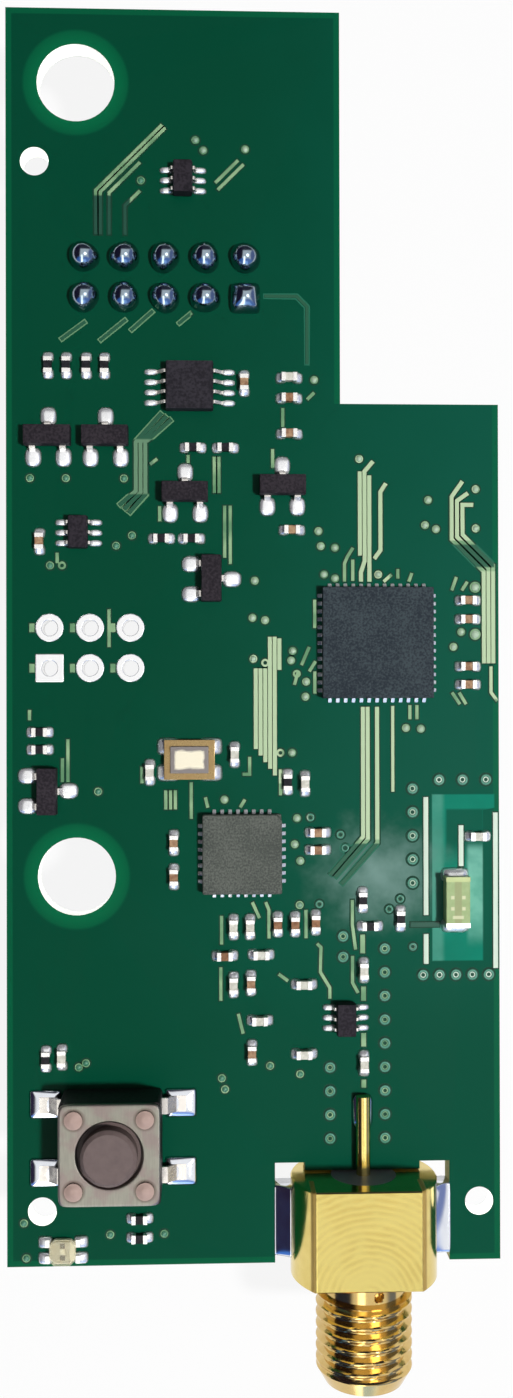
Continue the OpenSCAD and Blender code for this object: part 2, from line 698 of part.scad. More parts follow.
// Lead blocks round the lower edge of a flat chip, with its middle pad
module flat_leads(w, n) {
    for (k = [0 : 3]) rotate(90 * k) row_of(n, flat_pitch)
        translate([w / 2 - flat_lead[0], -flat_lead[1] / 2, solder_t]) cube(flat_lead);
    translate([0, 0, solder_t + flat_lead[2] / 2])
        cube([w * flat_core, w * flat_core, flat_lead[2]], center = true);
}

module flat_solder(w, n) {
    for (k = [0 : 3]) rotate(90 * k) row_of(n, flat_pitch)
        lead_foot(w / 2 - flat_lead[0], w / 2, w / 2 + flat_toe, flat_lead[1], flat_lead[2]);
    translate([0, 0, solder_t / 2]) cube([w * flat_core, w * flat_core, solder_t], center = true);
}

module flat_body(w, n) {
    difference() {
        translate([-w / 2, -w / 2, solder_t]) cube([w, w, flat_h]);
        flat_leads(w, n);
    }
}

module processor_body() {
    color("#33373f") in_frame() on_board(processor_at) flat_body(mcu_w, mcu_n);
}

module processor_leads() {
    color("silver") in_frame() on_board(processor_at) flat_leads(mcu_w, mcu_n);
}

module processor_solder() {
    color("gainsboro") in_frame() on_board(processor_at) flat_solder(mcu_w, mcu_n);
}

module radio_body() {
    color("#66645f") in_frame() on_board(radio_at) difference() {
        flat_body(radio_w, radio_n);
        translate([radio_w / 2, radio_w / 2, solder_t + flat_lead[2]]) rotate(45)
            translate([-corner_cut / 2, -radio_w / 2, 0]) cube([radio_w, radio_w, flat_h]);
    }
}

module radio_leads() {
    color("silver") in_frame() on_board(radio_at) flat_leads(radio_w, radio_n);
}

module radio_solder() {
    color("gainsboro") in_frame() on_board(radio_at) flat_solder(radio_w, radio_n);
}

// A chip part: ceramic core and two metal ends that wrap it
module chip_core(h, l = chip_l, w = chip_w, t = cap_t) {
    translate([0, 0, solder_t + t + h / 2]) cube([l - 2 * t, w, h], center = true);
}

module chip_ends(h, l = chip_l, w = chip_w, t = cap_t, band = cap_band) {
    for (s = [-1, 1]) difference() {
        translate([s * (l - band) / 2, 0, solder_t + t + h / 2])
            cube([band, w + 2 * t, h + 2 * t], center = true);
        chip_core(h, l, w, t);
    }
}

module chip_feet(h, l = chip_l, w = chip_w, band = cap_band, toe = chip_toe) {
    both_sides() lead_foot(l / 2 - band, l / 2, l / 2 + toe, w + chip_pad_extra, h * climb);
}

module resistor_bodies() {
    color("#1b1a1c") in_frame() for (p = resistors_at) on_board(p) chip_core(resistor_h);
}

module resistor_ends() {
    color("silver") in_frame() for (p = resistors_at) on_board(p) chip_ends(resistor_h);
}

module capacitor_bodies() {
    color("#b88a58") in_frame() for (p = capacitors_at) on_board(p) chip_core(capacitor_h);
}

module capacitor_ends() {
    color("silver") in_frame() for (p = capacitors_at) on_board(p) chip_ends(capacitor_h);
}

module filter_bodies() {
    color("#d9d4c4") in_frame() for (p = filters_at) on_board(p) chip_core(capacitor_h);
}

module filter_ends() {
    color("silver") in_frame() for (p = filters_at) on_board(p) chip_ends(capacitor_h);
}

module inductor_bodies() {
    color("#a8643a") in_frame() for (p = inductors_at) on_board(p) chip_core(capacitor_h);
}

module inductor_ends() {
    color("silver") in_frame() for (p = inductors_at) on_board(p) chip_ends(capacitor_h);
}

module chip_solder() {
    color("gainsboro") in_frame() {
        for (p = resistors_at) on_board(p) chip_feet(resistor_h);
        for (p = concat(capacitors_at, filters_at, inductors_at)) on_board(p) chip_feet(capacitor_h);
    }
}

module crystal_base() {
    color("#cdaf6e") in_frame() on_board(crystal_at) translate([0, 0, solder_t + crystal_h / 2])
        cube([crystal_l, crystal_w, crystal_h], center = true);
}

module crystal_lid() {
    color("#b9b6ae") in_frame() on_board(crystal_at) translate([0, 0, solder_t + crystal_h + lid_t / 2])
        cube([crystal_l - 2 * crystal_rim, crystal_w - 2 * crystal_rim, lid_t], center = true);
}

module antenna_body() {
    color("#8f9a63") in_frame() on_board(antenna_at) chip_core(antenna_h, antenna_l, antenna_w);
}

module antenna_ends() {
    color("silver") in_frame() on_board(antenna_at)
        chip_ends(antenna_h, antenna_l, antenna_w, cap_t, antenna_band);
}

// Solder at the four corners of the crystal and the light, and at the aerial's ends
module corner_feet(l, w, inner, pad_w, rise) {
    both_sides() for (s = [-1, 1]) translate([0, s * (w - pad_w) / 2, 0])
        lead_foot(l / 2 - inner, l / 2, l / 2 + chip_toe, pad_w, rise);
}

module block_solder() {
    color("gainsboro") in_frame() {
        on_board(crystal_at)
            corner_feet(crystal_l, crystal_w, crystal_w / 3, crystal_w / 3, crystal_h * climb);
        on_board(light_at) corner_feet(led_l + 2 * led_end[0], led_w, led_end[0], led_end[1],
            led_base_h * climb);
        on_board(antenna_at) both_sides() lead_foot(antenna_l / 2 - antenna_band, antenna_l / 2,
            antenna_l / 2 + chip_toe, antenna_w, antenna_h * climb / 2);
    }
}

// A block with the light's eight-sided outline
module light_block(h) {
    linear_extrude(h) intersection() {
        square([led_l, led_w], center = true);
        rotate(45) square((led_l + led_w - 2 * led_cut) / sqrt(2), center = true);
    }
}

module light_base() {
    color("#efe6c8") in_frame() on_board(light_at) translate([0, 0, solder_t]) light_block(led_base_h);
}

module light_dies_at() {
    for (s = [-1, 1]) translate([0, s * led_die_at, solder_t + led_base_h + led_die[2] / 2])
        cube(led_die, center = true);
}

module light_dies() {
    color("#c9a24a") in_frame() on_board(light_at) light_dies_at();
}

module light_cover() {
    color("#e9e0b8") in_frame() on_board(light_at) difference() {
        translate([0, 0, solder_t + led_base_h]) light_block(led_lens_h);
        light_dies_at();
    }
}

module light_ends() {
    color("silver") in_frame() on_board(light_at) both_sides() for (s = [-1, 1])
        translate([led_l / 2, s * (led_w - led_end[1]) / 2 - led_end[1] / 2, solder_t])
            cube([led_end[0], led_end[1], led_base_h]);
}

// One terminal strip that crosses the switch, bent down to a foot at both ends
module terminal_strip() {
    z = strip_z + strip_t / 2;
    translate([-switch_w / 2, -terminal_w / 2, strip_z]) cube([switch_w, terminal_w, strip_t]);
    both_sides() bent_lead(switch_w / 2, terminal_span / 2, z, terminal_foot, terminal_w, strip_t,
        terminal_shoulder);
}

module rim_contact_shape() {
    translate([0, terminal_rows / 2, 0]) terminal_strip();
    translate([-rim_contact_l / 2, terminal_rows / 2 - rim_contact_w / 2, strip_z])
        cube([rim_contact_l, rim_contact_w, floor_z - strip_z]);
}

module centre_contact_shape() {
    translate([0, -terminal_rows / 2, 0]) terminal_strip();
    translate([-tongue_contact_w / 2, -terminal_rows / 2, strip_z])
        cube([tongue_contact_w, terminal_rows / 2, strip_t]);
    translate([0, 0, strip_z])
        cylinder(d = centre_contact_d, h = apex_z - dome_t - button_travel - strip_z);
}

module switch_rim_contact() {
    color("silver") in_frame() on_board(switch_at) rim_contact_shape();
}

module switch_centre_contact() {
    color("silver") in_frame() on_board(switch_at) centre_contact_shape();
}

// A square plate with rounded corners
module rounded_plate(w, r, h) {
    linear_extrude(h) {
        square([w, w - 2 * r], center = true);
        square([w - 2 * r, w], center = true);
        for (x = [-1, 1], y = [-1, 1]) translate([x, y] * (w / 2 - r)) circle(r);
    }
}

module corner_posts(d, from, to) {
    for (x = [-1, 1], y = [-1, 1]) translate([x * post_at, y * post_at, from]) cylinder(d = d, h = to - from);
}

module switch_base() {
    color("#3a3436") in_frame() on_board(switch_at) difference() {
        union() {
            translate([0, 0, body_z]) rounded_plate(switch_w, housing_round, switch_h - body_z);
            corner_posts(post_d, switch_h, cover_top);
            corner_posts(post_head_d, cover_top, cover_top + post_head_h);
        }
        translate([0, 0, floor_z]) cylinder(d = cavity_d, h = switch_h);
        rim_contact_shape();
        centre_contact_shape();
    }
}

module switch_cover() {
    color("#b2a894") in_frame() on_board(switch_at) difference() {
        translate([0, 0, switch_h]) rounded_plate(switch_w, cover_round, cover_t);
        translate([0, 0, switch_h - over]) cylinder(d = cover_hole_d, h = cover_t + 2 * over);
        corner_posts(post_d + 2 * post_gap, switch_h - over, cover_top + over);
    }
}

module switch_button() {
    top = cover_top + button_rise;
    flange_top = switch_h - lift_gap;
    low = apex_z + seat_gap;
    color("#8a7674") in_frame() on_board(switch_at) rotate_extrude() polygon([[0, low],
        [boss_d / 2, low], [boss_d / 2, flange_top - flange_t], [flange_d / 2, flange_top - flange_t],
        [flange_d / 2, flange_top], [button_d / 2, flange_top], [button_d / 2, top - button_edge],
        [button_d / 2 - button_edge, top], [0, top]]);
}

module switch_dome() {
    color("gainsboro") in_frame() on_board(switch_at) intersection() {
        translate([0, 0, apex_z - dome_r]) difference() {
            sphere(r = dome_r);
            sphere(r = dome_r - dome_t);
        }
        translate([0, 0, floor_z]) cylinder(d = cavity_d, h = dome_rise * 2);
    }
}

module switch_solder() {
    color("gainsboro") in_frame() on_board(switch_at) both_sides() row_of(2, terminal_rows)
        lead_foot(switch_w / 2 + switch_heel, terminal_span / 2,
            terminal_span / 2 + switch_toe, switch_pad_w, strip_t);
}

// The centre contact's outside: thin tail on the board, thicker inside the insulator
module contact_outside() {
    along_jack(jack_rear + tail_l) cylinder(d = tail_d, h = tail_l + step_l);
    along_jack(jack_rear - step_l) cylinder(d = contact_d, h = jack_rear - step_l - mouth_y - socket_l);
}

module jack_body() {
    color("#d8b457") in_frame() difference() {
        union() {
            intersection() {
                along_jack(jack_rear) cylinder(d = jack_d, h = jack_l);
                translate([jack_x - jack_d, jack_front - over, axis_z - jack_flats / 2])
                    cube([2 * jack_d, jack_l + 2 * over, jack_flats]);
            }
            along_jack(jack_front) cylinder(d = neck_d, h = neck_l);
            along_jack(jack_front - neck_l) cylinder(d = thread_d, h = thread_l);
            along_jack(mouth_y + bevel_l) cylinder(d1 = thread_d, d2 = mouth_d, h = bevel_l);
        }
        along_jack(jack_rear + over) cylinder(d = insulator_d, h = jack_l + barrel_l + 2 * over);
        along_jack(mouth_y + socket_l) cylinder(d = socket_d, h = socket_l + over);
        along_jack(jack_front - neck_l / 2) rotate(fill_turn) rotate([-90, 0, 0])
            cylinder(d = fill_hole_d, h = neck_d);
    }
}

module jack_insulator() {
    color("whitesmoke") in_frame() difference() {
        along_jack(jack_rear) cylinder(d = insulator_d, h = jack_rear - mouth_y - socket_l);
        contact_outside();
    }
}

module jack_contact() {
    color("#d9ab3c") in_frame() difference() {
        contact_outside();
        along_jack(mouth_y + socket_l + contact_depth) cylinder(d = contact_bore, h = contact_depth + over);
    }
}

module jack_solder() {
    color("gainsboro") in_frame() {
        for (s = [0, 1]) difference() {
            translate([jack_x, jack_solder_from + jack_solder_l / 2, 0]) mirror([s, 0, 0])
                upright(jack_solder_l) polygon([[jack_d / 4, jack_solder_low], [notch_w / 2, jack_solder_low],
                    [notch_w / 2, board_t], [jack_d / 2 - jack_solder_lap, board_t + jack_solder_rise],
                    [jack_d / 4, board_t + jack_solder_rise]]);
            along_jack(jack_rear) cylinder(d = jack_d, h = jack_l);
        }
        difference() {
            translate([jack_x - tail_solder_w / 2, jack_rear + tail_l - tail_solder_l, board_t])
                cube([tail_solder_w, tail_solder_l, tail_solder_h]);
            contact_outside();
        }
    }
}

circuit_board();
copper_tracks();
programming_pads();
header_carrier();
header_pins();
header_solder();
processor_body();
processor_leads();
processor_solder();
radio_body();
radio_leads();
radio_solder();
memory_body();
memory_leads();
six_lead_body(buffer_upper_at);  // buffer_body_upper
six_lead_body(buffer_lower_at);  // buffer_body_lower
six_lead_body(aerial_switch_at);  // aerial_switch_body
six_lead_leads();
transistor_body(0);  // transistor_1
transistor_body(1);  // transistor_2
transistor_body(2);  // transistor_3
transistor_body(3);  // transistor_4
transistor_body(4);  // transistor_5
transistor_body(5);  // transistor_6
transistor_leads();
lead_solder();
crystal_base();
crystal_lid();
antenna_body();
antenna_ends();
light_base();
light_dies();
light_cover();
light_ends();
resistor_bodies();
resistor_ends();
capacitor_bodies();
capacitor_ends();
filter_bodies();
filter_ends();
inductor_bodies();
inductor_ends();
chip_solder();
block_solder();
switch_base();
switch_cover();
switch_button();
switch_dome();
switch_rim_contact();
switch_centre_contact();
switch_solder();
jack_body();
jack_insulator();
jack_contact();
jack_solder();
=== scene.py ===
# %% [markdown]
# # A small radio module, dressed over its CAD frame
# The CAD model gives every solid of the module: board, chips, push-button and coaxial jack. This
# lesson loads them as a fixed frame, gives each a finish made of shader nodes, and adds what is poor
# as a plain solid: flowed solder and the jack's cut thread. Shapes are worked out in millimetres.

# %% Load the frame
import json
from functools import reduce

import bmesh
import bpy
import numpy as np
from mathutils import Euler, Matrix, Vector


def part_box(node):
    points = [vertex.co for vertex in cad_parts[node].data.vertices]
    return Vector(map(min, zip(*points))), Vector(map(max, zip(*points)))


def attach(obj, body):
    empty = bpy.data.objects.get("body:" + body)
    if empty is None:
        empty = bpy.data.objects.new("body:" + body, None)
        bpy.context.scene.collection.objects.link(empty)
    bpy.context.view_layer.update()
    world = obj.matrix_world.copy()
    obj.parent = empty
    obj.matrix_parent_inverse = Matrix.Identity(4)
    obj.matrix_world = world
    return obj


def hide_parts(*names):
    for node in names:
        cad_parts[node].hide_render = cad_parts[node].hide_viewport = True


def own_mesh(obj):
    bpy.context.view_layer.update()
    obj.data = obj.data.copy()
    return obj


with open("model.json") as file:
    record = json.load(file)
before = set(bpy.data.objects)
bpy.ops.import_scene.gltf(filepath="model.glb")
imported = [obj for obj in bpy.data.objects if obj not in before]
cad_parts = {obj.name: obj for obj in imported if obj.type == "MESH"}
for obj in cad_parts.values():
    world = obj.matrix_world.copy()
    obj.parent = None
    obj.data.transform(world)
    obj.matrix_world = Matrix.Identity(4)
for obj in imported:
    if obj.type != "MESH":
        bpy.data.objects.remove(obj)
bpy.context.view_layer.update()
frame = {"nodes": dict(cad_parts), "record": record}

MM = 0.001
nodes = frame["nodes"]
print("solids in the frame:", len(nodes))


def box_mm(node):
    """Lowest and highest corner of a CAD node, in millimetres."""
    low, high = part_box(node)
    return np.array(low) / MM, np.array(high) / MM


board_low, board_high = box_mm("circuit_board")
board_top = board_high[2]
print("board in mm:", np.round(board_high - board_low, 2))

# %% [markdown]
# ## The camera
# The picture is taken from straight above, a hand's breadth away, so near that the jack's rear face
# and the flanks of tall pieces come into view. The lens follows from the distance and the frame:
# Blender measures it on the picture's long side.

# %% Camera
PICTURE = (513, 1398)
CAMERA_AT = (8.32, -14.19, 84.89)
CAMERA_TURN = (0.21, -2.08, -0.13)
FOCAL_PIXELS = 1315.9


def add_object(name, data):
    """A new object over some data, linked into the scene."""
    made = bpy.data.objects.new(name, data)
    bpy.context.scene.collection.objects.link(made)
    return made


camera = bpy.data.cameras.new("camera")
camera.sensor_width = 36.0
camera.lens = FOCAL_PIXELS / PICTURE[1] * camera.sensor_width
camera.clip_start = 0.001
camera_rig = add_object("camera", camera)
camera_rig.location = Vector(CAMERA_AT) * MM
camera_rig.rotation_euler = Euler(np.radians(CAMERA_TURN))
bpy.context.scene.camera = camera_rig
print("lens in mm:", round(camera.lens, 2))

# %% [markdown]
# ## A way to write shader nodes as sums
# A finish is a net of small nodes, and placing them by hand is slow to read. So one class wraps an
# output socket and lets Python's own signs add the Math nodes: `1 - mask` or `wear * 0.3`. Every other
# node comes from one method that takes its kind, its settings and what goes into its sockets. Colours
# are written as a screen shows them, from 0 to 255; one with a fourth number is linear light already.


# %% Shader sums
class Wire:
    """An output socket that can be used in sums; each sign adds one Math node."""

    __array_ufunc__ = None  # numpy's numbers leave such a sum to this class

    def __init__(self, net, socket):
        self.net = net
        self.socket = socket

    def math(self, operation, *others):
        """A Math node that takes this value first."""
        return self.net.node("ShaderNodeMath", {"operation": operation}, (self, *others))

    def __add__(self, other):
        return self.math("ADD", other)

    def __sub__(self, other):
        return self.math("SUBTRACT", other)

    def __rsub__(self, other):
        return self.net.node("ShaderNodeMath", {"operation": "SUBTRACT"}, (other, self))

    def __mul__(self, other):
        return self.math("MULTIPLY", other)

    __radd__ = __add__
    __rmul__ = __mul__

    def least(self, other):
        """The smaller of this value and another."""
        return self.math("MINIMUM", other)

    def most(self, other):
        """The larger of this value and another."""
        return self.math("MAXIMUM", other)

    def stretch(self, factors):
        """A place with its three numbers multiplied by factors."""
        return self.net.node("ShaderNodeVectorMath", {"operation": "MULTIPLY"}, (self, factors))

    def away(self, point):
        """Distance of a place from a point."""
        return self.net.node("ShaderNodeVectorMath", {"operation": "DISTANCE"}, (self, point), "Value")

    def parts(self):
        """The three numbers of a place: to the right, up the board, above its underside."""
        split = self.net.node("ShaderNodeSeparateXYZ", None, (self,)).socket.node
        return [Wire(self.net, socket) for socket in split.outputs]

    def grain(self, per_mm, detail=2.0):
        """Cloudy noise from 0 to 1 over a place, with about per_mm patches in a millimetre."""
        sockets = {"Vector": self, "Scale": per_mm, "Detail": detail}
        return self.net.node("ShaderNodeTexNoise", None, sockets)

    def ease(self, start, end, low=0.0, high=1.0):
        """A soft step: low where this value is at start, high at end."""
        sockets = {"Value": self, "From Min": start, "From Max": end, "To Min": low, "To Max": high}
        return self.net.node("ShaderNodeMapRange", {"interpolation_type": "SMOOTHSTEP"}, sockets)

    def band(self, start, full, fade, end):
        """A soft band: 0 up to start, 1 from full to fade, 0 from end on."""
        return self.ease(start, full) * self.ease(end, fade)

    def blend(self, first, second):
        """First colour where this value is 0, second where it is 1."""
        sockets = {0: self, 6: light_of(first), 7: light_of(second)}
        return self.net.node("ShaderNodeMix", {"data_type": "RGBA"}, sockets, 2)


def light_of(colour):
    """Linear light of a screen colour: each step over 255, bent by the screen's power of 2.4."""
    if isinstance(colour, Wire) or len(colour) == 4:
        return colour
    screen = np.array(colour) / 255
    linear = np.where(screen <= 0.04045, screen / 12.92, ((screen + 0.055) / 1.055) ** 2.4)
    return (*linear.tolist(), 1.0)


def layered(colour, *layers):
    """A colour with others laid over it in turn, each as far as its amount from 0 to 1 says."""
    for amount, over in layers:
        colour = amount.blend(colour, over)
    return colour


# %% Nets and finishes
class Net:
    """A net of shader nodes."""

    def __init__(self, tree):
        self.tree = tree

    def node(self, kind, settings=None, sockets=(), out=0):
        """A node of a kind, with its settings and what goes into its sockets, by name or in order."""
        made = self.tree.nodes.new(kind)
        for key, value in (settings or {}).items():
            setattr(made, key, value)
        pairs = sockets.items() if isinstance(sockets, dict) else enumerate(sockets)
        for key, value in pairs:
            self.feed(made.inputs[key], value)
        return Wire(self, made.outputs[out])

    def feed(self, socket, value):
        """Links a wire to a socket, or sets the socket's own value."""
        if isinstance(value, Wire):
            self.tree.links.new(value.socket, socket)
        else:
            socket.default_value = value

    def place(self):
        """Place on the module, in millimetres."""
        return self.node("ShaderNodeTexCoord", out="Object").stretch([1 / MM] * 3)

    def axes(self):
        """A place on the module, and its three numbers."""
        place = self.place()
        return place, *place.parts()


class Finish(Net):
    """A material in the making, on Blender's Principled shader."""

    def __init__(self, name, **constants):
        self.material = bpy.data.materials.new(name)
        self.material.use_nodes = True
        super().__init__(self.material.node_tree)
        self.shader = self.tree.nodes["Principled BSDF"]
        self.set(**constants)

    def set(self, **values):
        """Feeds the shader's sockets; Base_Color stands for Base Color."""
        for key, value in values.items():
            self.feed(self.shader.inputs[key.replace("_", " ")], value)

    def rough_up(self, height, depth_mm):
        """Lets a height from 0 to 1 tilt the surface, as a dent depth_mm deep would."""
        sockets = {"Height": height, "Distance": depth_mm * MM, "Strength": 1.0}
        self.set(Normal=self.node("ShaderNodeBump", None, sockets))


def dress(finish, *names):
    """Puts a finish into the material slots of CAD nodes."""
    for name in names:
        for slot in nodes[name].material_slots:
            slot.material = finish.material
    print(finish.material.name, "on", ", ".join(names))


# %% [markdown]
# ## Floor, sky and lamps
# The module lies on a white table under a lamp at the right, so shadows fall to the left and a little
# up. Shiny metal shows its surroundings: white overhead, a dark room to the left and behind, a
# grey-blue wall on the right, a bluish window low in front and a lit tube above it. A picture of a
# room could give them, but here they are painted on a dome that only reflections can see. The white
# behind the module comes from the Light Path node, so that it puts no extra light on the board.

# %% Sky
SKY_LIGHT = 0.08


def seen_directly(net):
    """1 for rays that look at the sky or floor, straight, in a mirror or through glass."""
    rays = net.node("ShaderNodeLightPath").socket.node.outputs
    straight = Wire(net, rays["Is Camera Ray"])
    return straight.most(Wire(net, rays["Is Glossy Ray"])).most(Wire(net, rays["Is Transmission Ray"]))


world = bpy.data.worlds.new("sky")
world.use_nodes = True
bpy.context.scene.world = world
sky = Net(world.node_tree)
background = world.node_tree.nodes["Background"]
sky.feed(background.inputs["Color"], (1.0, 1.0, 1.0, 1.0))
sky.feed(background.inputs["Strength"], SKY_LIGHT + (1 - SKY_LIGHT) * seen_directly(sky))
bpy.context.scene.view_settings.view_transform = "Standard"
print("sky light:", SKY_LIGHT)

# %% Lamps
KEY_FROM = Vector((0.42, -0.16, 1.0)).normalized()
KEY_AWAY = 0.60
WINDOW_FROM = Vector((0.1, -1.0, 0.22)).normalized()
WINDOW_AWAY = 0.5
MODULE_MIDDLE = Vector((0.012, -0.010, 0.002))


def lamp(name, toward, away, size, watts, colour=(1, 1, 1)):
    """A square lamp that looks at the module from a direction."""
    light = bpy.data.lights.new(name, "AREA")
    light.size = size
    light.energy = watts
    light.color = colour
    rig = add_object(name, light)
    rig.location = MODULE_MIDDLE + toward * away
    rig.rotation_euler = toward.to_track_quat("Z", "Y").to_euler()
    return rig


key_lamp = lamp("key_lamp", KEY_FROM, KEY_AWAY, size=0.05, watts=3.3)
key_lamp.visible_glossy = False
lamp("window", WINDOW_FROM, WINDOW_AWAY, size=0.30, watts=0.20, colour=(0.45, 0.68, 1.0))

# %% [markdown]
# ## Surfaces from grids of numbers
# Blender's balls and tubes could be joined and cut into shape, but the seams would show. So each new
# piece is a grid of points worked out with numpy, and neighbours are joined into four-sided faces. A
# direction that runs round a piece joins its last line to its first. Where a line shrinks to one
# point, as at the top of a solder drop, its points are merged into a pole.


# %% Grid helpers
def new_piece(name, mesh, merge_within, turn_out=False):
    """An object over a mesh with points merged within some metres; turn_out turns its faces out."""
    work = bmesh.new()
    work.from_mesh(mesh)
    bmesh.ops.remove_doubles(work, verts=work.verts, dist=merge_within)
    if turn_out:
        bmesh.ops.recalc_face_normals(work, faces=work.faces)
    work.to_mesh(mesh)
    work.free()
    print(name, "faces:", len(mesh.polygons))
    return add_object(name, mesh)


def lay_grid(name, points, rows_round=False, columns_round=True):
    """An object over grids of points in mm (copies, rows, columns, 3), each joined to the next ones."""
    copies, rows, columns, _ = points.shape
    number = np.arange(copies * rows * columns).reshape(copies, rows, columns)
    if rows_round:
        number = np.concatenate([number, number[:, :1]], axis=1)
    if columns_round:
        number = np.concatenate([number, number[:, :, :1]], axis=2)
    corners = [number[:, :-1, :-1], number[:, :-1, 1:], number[:, 1:, 1:], number[:, 1:, :-1]]
    faces = np.stack(corners, axis=-1).reshape(-1, 4)
    mesh = bpy.data.meshes.new(name)
    mesh.from_pydata((points.reshape(-1, 3) * MM).tolist(), [], faces.tolist())
    piece = new_piece(name, mesh, 1e-8, turn_out=True)
    mesh.polygons.foreach_set("use_smooth", np.ones(len(mesh.polygons), bool))
    return piece


def full_turn(steps):
    """Angles that share out a full turn."""
    return np.linspace(0, 2 * np.pi, steps, endpoint=False)


def turned(centre, reach, turn, z):
    """Points round an upright axis: the centre plus reach times the turn's cosine and sine, at z."""
    x = centre[..., 0] + reach * np.cos(turn)
    y = centre[..., 1] + reach * np.sin(turn)
    return np.stack([x, y, z + 0 * x], axis=-1)


def fit_in(piece, finish, slot, *replaced):
    """Gives a new piece its finish and its place in the module."""
    piece.data.materials.append(finish.material)
    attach(piece, "board")
    if replaced:
        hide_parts(*replaced)
    print(finish.material.name, "on", piece.name)


# %% Floor
FLOOR_WIDE = 1500.0
FLOOR_WHITE = 0.90


def stage_net(piece, name):
    """The net of a new material on a piece of the stage, empty but for its output."""
    paint = bpy.data.materials.new(name)
    paint.use_nodes = True
    paint.node_tree.nodes.remove(paint.node_tree.nodes["Principled BSDF"])
    piece.data.materials.append(paint)
    return Net(paint.node_tree)


def glow(net, colour, strength=1.0):
    """A shader that gives off light."""
    return net.node("ShaderNodeEmission", None, {"Color": colour, "Strength": strength})


def show(net, shader):
    """Ends a net of the stage in a shader."""
    net.feed(net.tree.nodes["Material Output"].inputs["Surface"], shader)


edge = np.array([-FLOOR_WIDE, FLOOR_WIDE])
floor_x, floor_y = np.meshgrid(edge, edge)
floor_z = np.full((2, 2), box_mm("header_pins")[0][2] - 0.01)
floor = lay_grid("floor", np.stack([floor_x, floor_y, floor_z], axis=-1)[None], columns_round=False)
net = stage_net(floor, "floor_white")
matt = net.node("ShaderNodeBsdfDiffuse", None, {"Color": (0.86, 0.86, 0.86, 1)})
shares = (seen_directly(net) * FLOOR_WHITE, matt, glow(net, (1, 1, 1, 1)))
show(net, net.node("ShaderNodeMixShader", None, shares))

# %% Room and lamp face
ROOM_RADIUS = 700.0
ROOM_LOW = 1.0
GLOW_AWAY = 560.0
GLOW_RADIUS = 120.0
GLOW_BRIGHT = 6.0


def only_mirrored(piece):
    """Leaves a piece of the stage to reflections alone."""
    for ray in ("camera", "diffuse", "shadow", "transmission"):
        setattr(piece, "visible_" + ray, False)


around = full_turn(96)
raised = np.radians(np.linspace(ROOM_LOW, 90.0, 24))[:, None]
walls = turned(np.zeros(3), ROOM_RADIUS * np.cos(raised), around, ROOM_RADIUS * np.sin(raised))
room = lay_grid("room_dome", walls[None])
net = stage_net(room, "room_walls")
right, up, above = net.place().stretch([1 / ROOM_RADIUS] * 3).parts()
left_wall = (up * 0.15 - right).ease(0.36, 0.54)
back_wall = up.ease(0.50, 0.72)
right_wall = right.ease(0.70, 0.84)
low_window = up.ease(-0.46, -0.62) * above.ease(0.84, 0.64)
tube = right.band(-0.34, -0.24, -0.06, 0.02) * up.ease(-0.36, -0.42)
room_tint = layered(
    (1, 1, 1, 1),
    (back_wall, (58, 60, 72)),
    (left_wall, (40, 34, 56)),
    (right_wall, (124, 138, 184)),
    (low_window * 0.85, (78, 136, 226)),
    (tube, (3.5, 3.5, 3.3, 1)),
)
show(net, glow(net, room_tint))
only_mirrored(room)

sidelong = KEY_FROM.orthogonal().normalized()
endlong = KEY_FROM.cross(sidelong)
disc = np.array([0.0, 0.7, 1.0])[:, None, None] * GLOW_RADIUS
spokes = np.cos(around)[:, None] * np.array(sidelong) + np.sin(around)[:, None] * np.array(endlong)
glow_points = np.array(MODULE_MIDDLE) / MM + np.array(KEY_FROM) * GLOW_AWAY + disc * spokes
lamp_face = lay_grid("lamp_face", glow_points[None])
net = stage_net(lamp_face, "lamp_glow")
show(net, glow(net, (1, 1, 1, 1), GLOW_BRIGHT))
only_mirrored(lamp_face)

# %% [markdown]
# ## Softened edges on the CAD solids
# No real edge is quite sharp, and only a rounded one catches light. The solids come as loose
# triangles, so a Weld modifier joins them first and a Bevel then rounds the edges that turn by more
# than 30 degrees. As modifiers they leave the solids' own meshes as they are.


# %% Bevels
SIX_LEADED = ("buffer_body_upper", "buffer_body_lower", "aerial_switch_body")
TRANSISTORS = [f"transistor_{number}" for number in range(1, 7)]
CHIP_ENDS = ("resistor_ends", "capacitor_ends", "filter_ends", "inductor_ends", "light_ends")
LEADS = ("processor_leads", "radio_leads", "memory_leads", "six_lead_leads", "transistor_leads")


def soften(width_mm, *names, segments=2):
    """Rounds the outer edges of CAD nodes by a small width."""
    for name in names:
        weld = nodes[name].modifiers.new("weld", "WELD")
        weld.merge_threshold = 1e-7
        bevel = nodes[name].modifiers.new("soft_edges", "BEVEL")
        bevel.width = width_mm * MM
        bevel.segments = segments
        bevel.limit_method = "ANGLE"
        bevel.harden_normals = True


soften(0.12, "processor_body", "radio_body", "header_carrier")
soften(0.05, "memory_body", *SIX_LEADED, *TRANSISTORS)
soften(0.04, *CHIP_ENDS, "antenna_ends")
soften(0.05, "crystal_base", "crystal_lid", "antenna_body", "light_base")
soften(0.03, *LEADS)
soften(0.05, "processor_solder", "radio_solder", "programming_pads")
soften(0.18, "switch_button", segments=4)
soften(0.08, "switch_base", segments=3)
soften(0.022, "copper_tracks", segments=1)
print("nodes with soft edges:", sum("soft_edges" in node.modifiers for node in nodes.values()))
